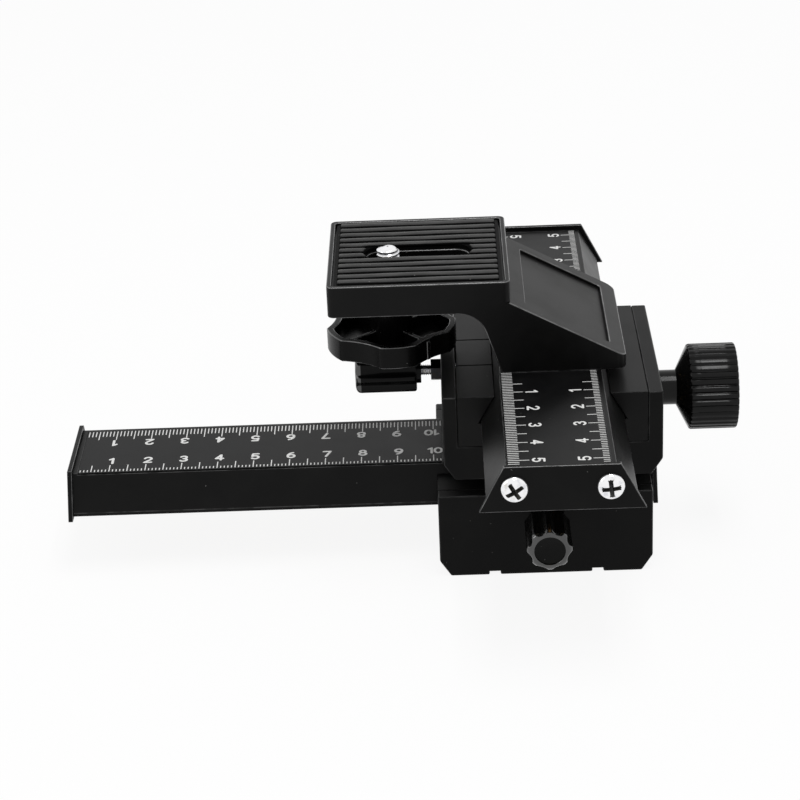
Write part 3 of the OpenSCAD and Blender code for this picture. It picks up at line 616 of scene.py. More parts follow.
# In these finishes the share given for the edges sets how much rounded edges are lightened, partly
# as wear and partly as a painted highlight.
BLOCK = BlackCoat(
    "block_black",
    Slot.ANODISED,
    roughness=0.42,
    gloss=0.085,
    edge_gloss=0.1,
    rubbed_share=0.12,
    grain=0.22,
)
JAW = BlackCoat(
    "jaw_black",
    Slot.ANODISED,
    gloss=0.11,
    edge_gloss=0.06,
    rubbed_share=0.05,
    grain=0.24,
)
RAIL_X = BlackCoat(
    "lower_rail_black",
    Slot.ANODISED,
    edge_gloss=0.16,
    roughness=0.34,
    drawn=(0.04, 1.0, 1.0),
    grain=0.14,
)
RAIL_Y = replace(RAIL_X, name="upper_rail_black", drawn=(1.0, 0.04, 1.0))
CAP = BlackCoat("cap_black", Slot.ANODISED, edge_gloss=0.7, rubbed_share=0.9)
CASTING = BlackCoat(
    "bracket_black",
    Slot.MOULDED,
    rubbed_share=0.6,
    gloss=0.12,
    edge_gloss=1.0,
    roughness=0.36,
    grain=0.26,
    grain_depth=0.005,
)
KNOB = BlackCoat("knob_black", Slot.MOULDED, gloss=0.16, roughness=0.15, grain=0.5)
LOCK_KNOB = BlackCoat(
    "lock_knob_black",
    Slot.MOULDED,
    gloss=0.09,
    edge_gloss=1.0,
    roughness=0.24,
    grain=0.5,
    grain_depth=0.004,
    rubbed_share=0.1,
)
WHEEL = BlackCoat(
    "wheel_black",
    Slot.MOULDED,
    gloss=0.09,
    edge_gloss=1.0,
    roughness=0.26,
    grain=0.5,
    rubbed_share=0.9,
)
# Painted shade for the screws' cross recesses: dark, with bluish and yellowish patches that are
# painted reflections.
RECESS_SHADE = BlackCoat(
    "recess_painted_shade", colour=(0.03, 0.032, 0.04), patch_colour=(0.09, 0.085, 0.06), gloss=0.25
)
PLATE = PrintedPlate("plate_black")
INK = WhiteInk("white_ink", Slot.SCALE)
CHROME = BareMetal("chrome_plating", Slot.CHROME, colour=(0.9, 0.9, 0.91), roughness=0.09)
CHROME_THREAD = replace(CHROME, name="chrome_thread", roughness=0.16, thread_at=(-40.5, 3.9))
STEEL = BareMetal("turned_steel", Slot.STEEL, colour=(0.62, 0.62, 0.64), roughness=0.22)
DARK_STEEL = BareMetal(
    "blackened_steel",
    colour=(0.022, 0.022, 0.023),
    cool_colour=(0.03, 0.033, 0.04),
    warm_colour=(0.05, 0.035, 0.025),
    roughness=0.34,
)
BRASS = BareMetal(
    "turned_brass",
    colour=(0.72, 0.5, 0.22),
    cool_colour=(0.6, 0.45, 0.2),
    warm_colour=(0.5, 0.34, 0.15),
    roughness=0.24,
)
RUBBER = Rubber("moulded_rubber", Slot.RUBBER)
PAPER = StudioPaper("studio_paper")


# Mesh work

SHARP_FROM = 32.0


def coat(finish: Finish, *nodes: str) -> None:
    """Give CAD nodes a finish.

    Args:
        finish: Their finish.
        nodes: Their names.
    """
    for node in nodes:
        materials = frame["nodes"][node].data.materials
        materials.clear()
        materials.append(finish.material())


def body_of(node: str) -> Body:
    """Return the body that a CAD node rides on."""
    return Body(frame["nodes"][node]["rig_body"])


def to_mesh(name: str, shape: Solid) -> bpy.types.Mesh:
    """Turn a shape into mesh data.

    Args:
        name: The mesh's name.
        shape: The shape, which is freed.

    Returns:
        The mesh.
    """
    mesh = bpy.data.meshes.new(name)
    shape.to_mesh(mesh)
    shape.free()
    return mesh


def link(name: str, data: Optional[bpy.types.ID]) -> bpy.types.Object:
    """Return a new object of the scene with this data."""
    made = bpy.data.objects.new(name, data)
    bpy.context.scene.collection.objects.link(made)
    return made


def make_piece(
    name: str,
    shape: Solid,
    finish: Finish,
    body: Body,
    second: Optional[Finish] = None,
    smooth: bool = False,
    normals: Sequence[Vector] = (),
) -> bpy.types.Object:
    """Turn a mesh in millimetres into a piece that rides on a body.

    Args:
        name: The piece's name.
        shape: Its mesh, which is freed.
        finish: Its finish.
        body: The body that it rides on.
        second: The finish of its faces with the second material.
        smooth: Whether its faces are shaded smooth up to sharp edges.
        normals: The normals of its face corners, where they are set one by one.

    Returns:
        The new object.
    """
    bmesh.ops.scale(shape, vec=(MM, MM, MM), verts=shape.verts)
    if not normals:
        bmesh.ops.recalc_face_normals(shape, faces=shape.faces)
    mesh = to_mesh(name, shape)
    for each in (finish, second):
        if each:
            mesh.materials.append(each.material())
    piece = link(name, mesh)
    if smooth or normals:
        mesh.shade_smooth()
    if normals:
        mesh.normals_split_custom_set(normals)
    elif smooth:
        mesh.set_sharp_from_angle(angle=math.radians(SHARP_FROM))
    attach(piece, body.value)
    log.info("%s: %d faces", name, len(mesh.polygons))
    return piece


def stand_in(
    node: str,
    ending: str,
    shape: Solid,
    finish: Finish,
    second: Optional[Finish] = None,
    normals: Sequence[Vector] = (),
) -> None:
    """Put a piece in the place of a CAD node, on the node's body.

    Args:
        node: The node's name, which the piece's name starts with.
        ending: What the piece's name ends with.
        shape: Its mesh, which is freed.
        finish: Its finish, which the node gets too.
        second: The finish of its faces with the second material.
        normals: The normals of its face corners, where they are set one by one.
    """
    name = f"{node}_{ending}"
    piece = make_piece(name, shape, finish, body_of(node), second, not normals, normals)
    coat(finish, node)
    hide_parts(node)


def carve(solid: Solid, tool: Solid) -> Solid:
    """Cut one closed mesh out of another.

    Args:
        solid: The mesh that is cut, which is freed.
        tool: The mesh that cuts, which is freed.

    Returns:
        What is left of the solid.
    """
    objects = []
    for name, shape in (("carved", solid), ("carver", tool)):
        bmesh.ops.recalc_face_normals(shape, faces=shape.faces)
        objects.append(link(name, to_mesh(name, shape)))
    cut = objects[0].modifiers.new("cut", "BOOLEAN")
    cut.object = objects[1]
    cut.operation = "DIFFERENCE"
    cut.solver = "EXACT"
    bpy.context.view_layer.update()
    result = objects[0].evaluated_get(bpy.context.evaluated_depsgraph_get())
    left = bmesh.new()
    left.from_mesh(result.to_mesh())
    result.to_mesh_clear()
    for item in objects:
        mesh = item.data
        bpy.data.objects.remove(item)
        bpy.data.meshes.remove(mesh)
    return left


def join(parts: Sequence[Solid]) -> Solid:
    """Gather meshes in one.

    Args:
        parts: The meshes, which are freed.

    Returns:
        One mesh that holds them all.
    """
    whole = bmesh.new()
    for part in parts:
        mesh = to_mesh("part", part)
        whole.from_mesh(mesh)
        bpy.data.meshes.remove(mesh)
    return whole


def skin(
    shape: Solid,
    rings: Sequence[Ring],
    filled: bool = True,
    looped: bool = False,
    bright: Sequence[int] = (),
) -> None:
    """Cover the space between rings of vertices with quads.

    Args:
        shape: The mesh that the rings are in.
        rings: The rings, in order, with as many vertices each.
        filled: Whether the first and the last ring are closed with a face.
        looped: Whether the last ring is joined to the first.
        bright: The bands between rings, by number, that have the second material.
    """
    if filled:
        shape.faces.new(list(reversed(rings[0])))
        shape.faces.new(rings[-1])
    uppers = [*rings[1:], rings[0]] if looped else rings[1:]
    for number, (lower, upper) in enumerate(zip(rings, uppers)):
        for i in range(len(lower)):
            j = (i + 1) % len(lower)
            face = shape.faces.new([lower[i], lower[j], upper[j], upper[i]])
            face.material_index = int(number in bright)


@dataclass(frozen=True)
class Rounding:
    """How the outer edges of a solid are rounded, by its making and by handling."""

    radius: float
    steps: int = 2
    sharpest: float = 28.0
    weld: float = 0.002
    flat: float = 0.6
    near: float = 50.0
    kept: tuple[Place, ...] = ()
    kept_reach: float = 2.0

    def dress(self, node: str, finish: BlackCoat) -> None:
        """Put a copy of a node with rounded edges in its place.

        Args:
            node: The node's name.
            finish: Its finish, which is lightened on the edges, partly as wear and partly as a
                painted highlight.
        """
        shape = bmesh.new()
        shape.from_mesh(frame["nodes"][node].data)
        bmesh.ops.scale(shape, vec=(1.0 / MM,) * 3, verts=shape.verts)
        bmesh.ops.remove_doubles(shape, verts=shape.verts, dist=self.weld)
        bmesh.ops.dissolve_limit(
            shape, angle_limit=math.radians(self.flat), verts=shape.verts, edges=shape.edges
        )
        made = bmesh.ops.bevel(
            shape,
            geom=[edge for edge in shape.edges if self.rounds(edge)],
            offset=self.radius,
            offset_type="OFFSET",
            segments=self.steps,
            profile=0.5,
            affect="EDGES",
            clamp_overlap=False,
            loop_slide=False,
        )
        # The rounded faces take the edge finish, lightened as wear and as a painted highlight.
        for face in made["faces"]:
            face.material_index = 1
        normals = self.corner_normals(shape)
        stand_in(node, "rounded", shape, finish, finish.at_edges(), normals)

    def rounds(self, edge: bmesh.types.BMEdge) -> bool:
        """Find whether an edge is rounded.

        Args:
            edge: The edge.

        Returns:
            Whether it stands out, is sharp and isn't near a kept spot.
        """
        if len(edge.link_faces) != 2 or not edge.is_convex:
            return False
        if edge.calc_face_angle(0.0) < math.radians(self.sharpest):
            return False
        middle = (edge.verts[0].co + edge.verts[1].co) / 2.0
        return all((middle - Vector(spot)).length > self.kept_reach for spot in self.kept)

    def corner_normals(self, shape: Solid) -> list[Vector]:
        """Return the normal of each face's corners, so that flats stay flat and edges roll.

        Args:
            shape: The mesh, whose rounded edges have the second material.

        Returns:
            The normals, in the order of the faces and their corners.
        """
        shape.normal_update()
        areas = {face: face.calc_area() for face in shape.faces}
        limit = math.cos(math.radians(self.near))
        normals = []
        for face in shape.faces:
            for corner in face.loops:
                near = [f for f in corner.vert.link_faces if f.normal.dot(face.normal) > limit]
                flats = [f for f in near if f.material_index == 0] or near or [face]
                total = sum((f.normal * areas[f] for f in flats), Vector())
                usable = total.length > 0.0
                normals.append(total.normalized() if usable else face.normal.copy())
        return normals


@dataclass(frozen=True)
class Turning:
    """A piece made of rings round an axis."""

    foot: Place = (0.0, 0.0, 0.0)
    axis: Place = UP
    up: Place = RIGHT
    around: int = 64

    def mesh(
        self,
        profile: Sequence[Point],
        shape: Optional[Callable[[float, float, float], float]] = None,
        bright: Sequence[int] = (),
    ) -> Solid:
        """Build the piece.

        Args:
            profile: The rings, each a distance along the axis and a radius.
            shape: Gives a ring's radius at an angle, from its distance, radius and angle.
            bright: The bands between rings, by number, that have the second material.

        Returns:
            The closed mesh.
        """
        axis = Vector(self.axis)
        up = Vector(self.up)
        side = axis.cross(up)
        built = bmesh.new()
        rings = []
        for place, radius in profile:
            ring = []
            for i in range(self.around):
                angle = FULL_TURN * i / self.around
                reach = shape(place, radius, angle) if shape else radius
                out = up * (reach * math.cos(angle)) + side * (reach * math.sin(angle))
                ring.append(built.verts.new(Vector(self.foot) + axis * place + out))
            rings.append(ring)
        skin(built, rings, bright=bright)
        return built


def soft_least(first: float, second: float, blend: float) -> float:
    """Return the lesser of two numbers, with a rounded change between them.

    Args:
        first: One number.
        second: The other.
        blend: The width of the change.

    Returns:
        The rounded lesser.
    """
    share = max(blend - abs(first - second), 0.0) / blend
    return min(first, second) - share * share * blend / 4.0


# Printed marks


def arc(middle: Point, size: Point, start: float, end: float, steps: int = 12) -> list[Point]:
    """Return points on part of an ellipse.

    Args:
        middle: Its middle.
        size: Its half width and half height.
        start: The first angle in degrees.
        end: The last angle in degrees.
        steps: The count of steps between them.

    Returns:
        The points.
    """
    angles = [math.radians(start + (end - start) * i / steps) for i in range(steps + 1)]
    return [(middle[0] + size[0] * math.cos(a), middle[1] + size[1] * math.sin(a)) for a in angles]


def oval(x: float, y: float, half_w: float, half_h: float) -> list[Point]:
    """Return the points of a whole ellipse."""
    return arc((x, y), (half_w, half_h), 0, 360, 24)


class Numeral(Enum):
    """The strokes of each numeral, in a box 0.7 wide and 1 high."""

    ZERO = ("0", [oval(0.35, 0.5, 0.27, 0.42)])
    ONE = ("1", [[(0.16, 0.74), (0.4, 0.92)], [(0.4, 0.92), (0.4, 0.08)]])
    TWO = (
        "2",
        [
            arc((0.35, 0.68), (0.26, 0.24), 165, -38) + [(0.09, 0.08)],
            [(0.09, 0.08), (0.62, 0.08)],
        ],
    )
    THREE = (
        "3",
        [
            arc((0.34, 0.715), (0.23, 0.205), 155, -90),
            arc((0.34, 0.295), (0.26, 0.215), 90, -155),
        ],
    )
    FOUR = (
        "4",
        [[(0.47, 0.08), (0.47, 0.92)], [(0.47, 0.92), (0.08, 0.32)], [(0.08, 0.32), (0.64, 0.32)]],
    )
    FIVE = (
        "5",
        [
            [(0.58, 0.92), (0.17, 0.92)],
            [(0.17, 0.92), (0.12, 0.52)],
            arc((0.34, 0.34), (0.27, 0.26), 140, -150),
        ],
    )
    SIX = ("6", [oval(0.35, 0.33, 0.26, 0.25), arc((0.56, 0.36), (0.47, 0.56), 100, 175)])
    SEVEN = ("7", [[(0.08, 0.92), (0.62, 0.92)], [(0.62, 0.92), (0.28, 0.08)]])
    EIGHT = ("8", [oval(0.35, 0.71, 0.21, 0.2), oval(0.35, 0.3, 0.26, 0.22)])
    NINE = ("9", [oval(0.35, 0.67, 0.26, 0.25), arc((0.14, 0.64), (0.47, 0.56), -80, -5)])

    def __init__(self, sign: str, strokes: list[list[Point]]) -> None:
        """Keep the sign and its strokes."""
        self.sign = sign
        self.strokes = strokes


@dataclass(frozen=True)
class MarkStyle:
    """The sizes of the marks and numbers in one row of a scale."""

    short: float
    middle: float
    long: float
    number_at: float
    start: float = 0.0
    shift: float = 0.0
    number_h: float = 3.5
    stroke_share: float = 0.17
    tick_w: float = 0.28

    def length(self, count: int) -> float:
        """Return a tick's length.

        Args:
            count: Its place on the scale.

        Returns:
            The length for a ten, a five or another count.
        """
        if count <= 0 or count % 5:
            return self.short
        return self.middle if count % 10 else self.long


@dataclass(frozen=True)
class MarkRow:
    """A row of marks: its zero, the way it counts, the way inward, and its style."""

    zero: Vector
    along: Vector
    inward: Vector
    style: MarkStyle

    def at(self, count: float, depth: float) -> Vector:
        """Return the point at a count, at a distance inward from the row's edge."""
        return self.zero + self.along * count + self.inward * depth


class MarkSheet:
    """Printed marks that gather in one mesh."""

    ink: float = 0.02
    step: float = 0.0025
    levels: int = 4
    end_points: int = 5
    number_w: float = 0.7
    advance: float = 0.84
    narrow_advance: float = 0.57

    def __init__(self) -> None:
        """Start with no marks."""
        self.shape = bmesh.new()
        self.laid = 0

    def lift(self) -> Vector:
        """Return the next mark's height, so that crossing strokes never share a face."""
        self.laid += 1
        return Vector((0.0, 0.0, self.ink - self.step * (self.laid % self.levels)))

    def ring(self, points: Sequence[Vector], lift: Vector) -> Ring:
        """Add vertices at points that are lifted."""
        return [self.shape.verts.new(point + lift) for point in points]

    def tick(self, row: MarkRow, count: float) -> None:
        """Add the tick at a count.

        Args:
            row: The row that it belongs to.
            count: Its place on the scale.
        """
        style = row.style
        half = style.tick_w / 2.0
        near = style.start
        far = near + style.length(count)
        corners = ((-half, near), (half, near), (half, far), (-half, far))
        rim = [row.at(count + aside, depth) for aside, depth in corners]
        skin(self.shape, [self.ring(rim, Vector()), self.ring(rim, self.lift())])

    def stroke(self, points: Sequence[Vector], width: float) -> None:
        """Add a stroke with round ends.

        Args:
            points: The points of its middle line.
            width: Its width.
        """
        closed = (points[0] - points[-1]).length < 1e-6
        path = list(points[:-1]) if closed else list(points)
        count = len(path)
        sides = []
        for i, point in enumerate(path):
            before = path[i - 1] if closed or i else point
            after = path[(i + 1) % count] if closed or i < count - 1 else point
            sides.append(Vector(UP).cross((after - before).normalized()) * (width / 2.0))
        lift = self.lift()
        if closed:
            self.band(path, sides, lift)
            return
        rim = [p + s for p, s in zip(path, sides)]
        rim += self.cap(path[-1], sides[-1])
        rim += [p - s for p, s in zip(reversed(path), reversed(sides))]
        rim += self.cap(path[0], -sides[0])
        self.ribbon(rim, count, lift)

    def cap(self, point: Vector, side: Vector) -> list[Vector]:
        """Return the points of a round end.

        Args:
            point: The end of the middle line.
            side: From there to the stroke's left side.

        Returns:
            The points between its two sides.
        """
        step = math.radians(-180.0 / (self.end_points + 1))
        turns = range(1, self.end_points + 1)
        return [point + Matrix.Rotation(step * i, 3, "Z") @ side for i in turns]

    def ribbon(self, rim: Sequence[Vector], count: int, lift: Vector) -> None:
        """Add an open stroke as quads with a fan at each end.

        Args:
            rim: Its outline: one side, an end, the other side and the other end.
            count: How many points each side has.
            lift: Its height above the plate.
        """
        high, low = self.ring(rim, lift), self.ring(rim, Vector())
        skin(self.shape, [low, high], filled=False)
        turn = count + self.end_points
        for level in (high, low):
            left = level[:count]
            right = list(reversed(level[turn:turn + count]))
            for i in range(count - 1):
                self.shape.faces.new([left[i], left[i + 1], right[i + 1], right[i]])
            self.shape.faces.new([left[-1], *level[count:turn], right[-1]])
            self.shape.faces.new([right[0], *level[turn + count:], left[0]])

    def band(self, path: Sequence[Vector], sides: Sequence[Vector], lift: Vector) -> None:
        """Add a closed stroke.

        Args:
            path: Its middle line.
            sides: From each point to its left side.
            lift: Its height above the plate.
        """
        rings = []
        for sign, height in ((1, Vector()), (1, lift), (-1, lift), (-1, Vector())):
            rings.append(self.ring([p + s * sign for p, s in zip(path, sides)], height))
        skin(self.shape, rings, filled=False, looped=True)

    def number(self, row: MarkRow, value: int) -> None:
        """Add the number of a count of tens.

        Args:
            row: The row that it belongs to.
            value: The number.
        """
        shapes = {numeral.sign: numeral for numeral in Numeral}
        text = str(value)
        height = row.style.number_h
        base = row.at(10.0 * value + row.style.shift, row.style.number_at)
        right = row.inward.cross(Vector(UP))
        steps = [self.narrow_advance if sign == "1" else self.advance for sign in text[:-1]]
        place = -(sum(steps) + self.number_w) * height / 2.0
        for sign, step in zip(text, [*steps, 0.0]):
            for line in shapes[sign].strokes:
                points = [
                    base + right * (place + x * height) + row.inward * (y * height)
                    for x, y in line
                ]
                self.stroke(points, row.style.stroke_share * height)
            place += step * height

    def print_row(self, row: MarkRow, first: int, last: int) -> None:
        """Add a row's ticks, and a number at every tenth.

        Args:
            row: The row.
            first: The count of its first tick.
            last: The count of its last tick.
        """
        for count in range(first, last + 1):
            self.tick(row, count)
        for value in range(1, last // 10 + 1):
            self.number(row, value)


# Knobs and screws that both units have


@dataclass(frozen=True)
class Thread:
    """A screw thread on a turned piece, as a grid whose radius follows the helix."""

    pitch: float
    depth: float
    around: int = 40
    per_turn: int = 8
    crest: float = 0.1
    flank: float = 0.75

    def radius(self, outer: float, height: float, turn: float) -> float:
        """Return the thread's radius at a point.

        Args:
            outer: The radius over the crests.
            height: The height along the axis.
            turn: The angle round it, from 0 to 1.

        Returns:
            The radius.
        """
        phase = (height / self.pitch - turn) % 1.0
        slope = abs(2.0 * phase - 1.0)
        return outer - self.depth * min(1.0, max(0.0, (slope - self.crest) / self.flank))

    def ring(self, shape: Solid, height: float, reach: Callable[[float], float]) -> Ring:
        """Add a ring round Z.

        Args:
            shape: The mesh.
            height: The ring's height.
            reach: Gives its radius at an angle from 0 to 1.

        Returns:
            Its vertices.
        """
        ring = []
        for i in range(self.around):
            radius = reach(i / self.around)
            angle = FULL_TURN * i / self.around
            place = (radius * math.cos(angle), radius * math.sin(angle), height)
            ring.append(shape.verts.new(place))
        return ring

    def turned(
        self,
        outer: Callable[[float], tuple[float, bool]],
        start: float,
        end: float,
        stops: Sequence[float],
    ) -> Solid:
        """Build a turned piece along Z, threaded where its profile says so.

        Args:
            outer: Gives the radius at a height, and whether it is threaded there.
            start: The lowest height.
            end: The highest height.
            stops: Heights at which the radius jumps.

        Returns:
            The closed mesh.
        """
        shape = bmesh.new()
        marks = [start, *stops, end]
        rings = []
        for low, high in zip(marks, marks[1:]):
            threaded = outer((low + high) / 2.0)[1]
            steps = math.ceil((high - low) / self.pitch * self.per_turn) if threaded else 1
            near = (high - low) * 1e-4
            for i in range(steps + 1):
                height = low + (high - low) * i / steps
                radius = outer(min(max(height, low + near), high - near))[0]
                rings.append(
                    self.ring(
                        shape,
                        height,
                        lambda turn: self.radius(radius, height, turn) if threaded else radius,
                    )
                )
        skin(shape, rings)
        return shape

    def socket(self, outer: float, bore: float, height: float) -> Solid:
        """Build a round insert along Z with this thread in its bore.

        Args:
            outer: The insert's radius.
            bore: The bore's radius over the crests.
            height: The insert's height.

        Returns:
            The closed mesh.
        """
        shape = bmesh.new()
        root = bore + self.depth
        count = math.ceil(height / self.pitch * self.per_turn)
        rings = []
        for k in range(count + 1):
            level = height * k / count
            rings.append(
                self.ring(
                    shape, level, lambda turn: bore + root - self.radius(root, level, turn)
                )
            )
        rings += [self.ring(shape, level, lambda turn: outer) for level in (height, 0.0)]
        skin(shape, rings, filled=False, looped=True)
        return shape


@dataclass(frozen=True)
class DriveKnob:
    """A ribbed drive knob on a cone."""

    rib_d: float = 23.8
    ribs: int = 36
    neck_d: float = 9.7
    neck_l: float = 5.0
    neck_edge: float = 0.25
    cone_l: float = 3.2
    grip_l: float = 13.4
    edge: float = 0.6
    groove_w: float = 1.17
    groove_h: float = 0.48
    crown: float = 0.05
    dish_rim: float = 2.975
    dish_h: float = 1.49
    dish_edge: float = 0.35
    per_rib: int = 14

    def radius(self, place: float, radius: float, angle: float) -> float:
        """Return the radius at a point, with a groove between each two ribs.

        Args:
            place: The distance along the axis.
            radius: The radius over the ribs.
            angle: The angle round the axis.

        Returns:
            The radius in or beside a groove.
        """
        on_neck = place < self.neck_l + self.cone_l - 0.01
        if on_neck or radius < self.rib_d / 2.0 - 1.2 * self.edge:
            return radius
        pitch = math.pi * self.rib_d / self.ribs
        turn = (angle * self.ribs / FULL_TURN) % 1.0 - 0.5
        aside = abs(turn) * pitch
        half = self.groove_w / 2.0
        floor = 0.5 + 0.5 * math.cos(math.pi * min(1.0, aside / half))
        crown = self.crown * max(0.0, aside - half) ** 2
        return radius - self.groove_h * floor ** 0.8 + crown - 0.012

    def profile(self) -> list[Point]:
        """Return the knob's outline.

        Returns:
            Points, each a distance along the axis and a radius.
        """
        neck = self.neck_d / 2.0
        top = self.rib_d / 2.0
        low = top - self.edge
        start = self.neck_l + self.cone_l
        end = start + self.grip_l
        rim = top - self.dish_rim
        floor = end - self.dish_h
        return [
            (0.0, neck - self.neck_edge),
            (self.neck_edge, neck),
            (self.neck_l, neck),
            (start - 0.05, low - 0.05),
            (start, low),
            (start + 0.2, top - 0.22),
            (start + self.edge, top),
            *[(start + self.grip_l * i / 4.0, top) for i in (1, 2, 3)],
            (end - self.edge, top),
            (end - 0.2, top - 0.18),
            (end - 0.02, low),
            (end, low - self.groove_h - 0.15),
            (end, rim + self.dish_edge),
            (end - 0.12, rim + 0.05),
            (floor + 0.3, rim),
            (floor, rim - self.dish_edge),
        ]

    def dress(self, node: str, foot: Place, axis: Place) -> None:
        """Build the knob in the place of its node.

        Args:
            node: The node that it stands for.
            foot: Where its neck starts.
            axis: The way that it points.
        """
        turning = Turning(foot, axis, UP, self.ribs * self.per_rib)
        stand_in(node, "ribbed", turning.mesh(self.profile(), self.radius), KNOB)


@dataclass(frozen=True)
class LockKnob:
    """A lobed lock knob with a dished end and a collar."""

    lobe_d: float = 12.2
    lobes: int = 8
    grip_l: float = 16.9
    collar_d: float = 7.2
    collar_l: float = 1.25
    collar_edge: float = 0.15
    cut_r: float = 2.44
    cut_at: float = 7.6
    cut_blend: float = 0.5
    bevel: float = 1.55
    bevel_steps: int = 7
    back_bevel: float = 0.51
    dish_d: float = 8.13
    dish_h: float = 0.61
    dish_land: float = 0.22
    around: int = 192

    def radius(self, place: float, radius: float, angle: float) -> float:
        """Return the radius at a point, with a scallop between each two lobes.

        Args:
            place: The distance from the end.
            radius: The radius over the lobes.
            angle: The angle round the axis.

        Returns:
            The radius in or beside a scallop.
        """
        if radius < self.dish_d / 2.0 + 0.05 or place > self.grip_l + 0.001:
            return radius
        part = FULL_TURN / self.lobes
        turn = angle % part - part / 2.0
        room = self.cut_r ** 2 - (self.cut_at * math.sin(turn)) ** 2
        if room <= 0.0:
            return radius
        scallop = self.cut_at * math.cos(turn) - math.sqrt(room)
        return soft_least(radius, scallop, self.cut_blend)

    def profile(self) -> list[Point]:
        """Return the knob's outline, from its dish to its collar.

        Returns:
            Points, each a distance from the end and a radius.
        """
        top = self.lobe_d / 2.0
        dish = self.dish_d / 2.0
        land = dish + self.dish_land
        collar = self.collar_d / 2.0
        grip = self.grip_l
        turns = [math.pi / 2.0 * i / self.bevel_steps for i in range(1, self.bevel_steps + 1)]
        end = grip + self.collar_l
        return [
            (self.dish_h, dish - 0.3),
            (self.dish_h - 0.12, dish - 0.06),
            (0.12, dish),
            (0.0, dish + 0.1),
            (0.0, land),
            *[(self.bevel * (1.0 - math.cos(t)), land + (top - land) * math.sin(t)) for t in turns],
            (grip * 0.4, top),
            (grip * 0.7, top),
            (grip - self.back_bevel, top),
            (grip - 0.12, top - 0.3),
            (grip, top - 0.6),
            (grip, collar),
            (grip + 0.01, collar),
            (end - self.collar_edge, collar),
            (end, collar - self.collar_edge),
        ]

    def dress(self, node: str, foot: Place, axis: Place) -> None:
        """Build the knob in the place of its node.

        Args:
            node: The node that it stands for.
            foot: The middle of its free end.
            axis: The way from there to its collar.
        """
        turning = Turning(foot, axis, UP, self.around)
        # The bevel bands take the edge finish, lightened as wear and as a painted highlight.
        shape = turning.mesh(self.profile(), self.radius, range(2, self.bevel_steps + 4))
        stand_in(node, "lobed", shape, LOCK_KNOB, LOCK_KNOB.at_edges())


@dataclass(frozen=True)
class LockScrew:
    """The screw under a lock knob, threaded where it shows."""

    radius: float = 1.5
    length: float = 20.7
    threaded: Point = (9.0, 16.2)
    thread: Thread = Thread(pitch=0.5, depth=0.27, around=36)

    def profile(self, height: float) -> tuple[float, bool]:
        """Return the radius at a height, and whether it is threaded there."""
        return self.radius, self.threaded[0] < height < self.threaded[1]

    def dress(self, node: str, foot: Place, axis: Place) -> None:
        """Build the screw in the place of its node.

        Args:
            node: The node that it stands for.
            foot: The end inside the knob.
            axis: The way from there to the jaw.
        """
        shape = self.thread.turned(self.profile, 0.0, self.length, self.threaded)
        turn = Vector(UP).rotation_difference(Vector(axis)).to_matrix()
        bmesh.ops.rotate(shape, matrix=turn, verts=shape.verts)
        bmesh.ops.translate(shape, vec=foot, verts=shape.verts)
        stand_in(node, "threaded", shape, STEEL)


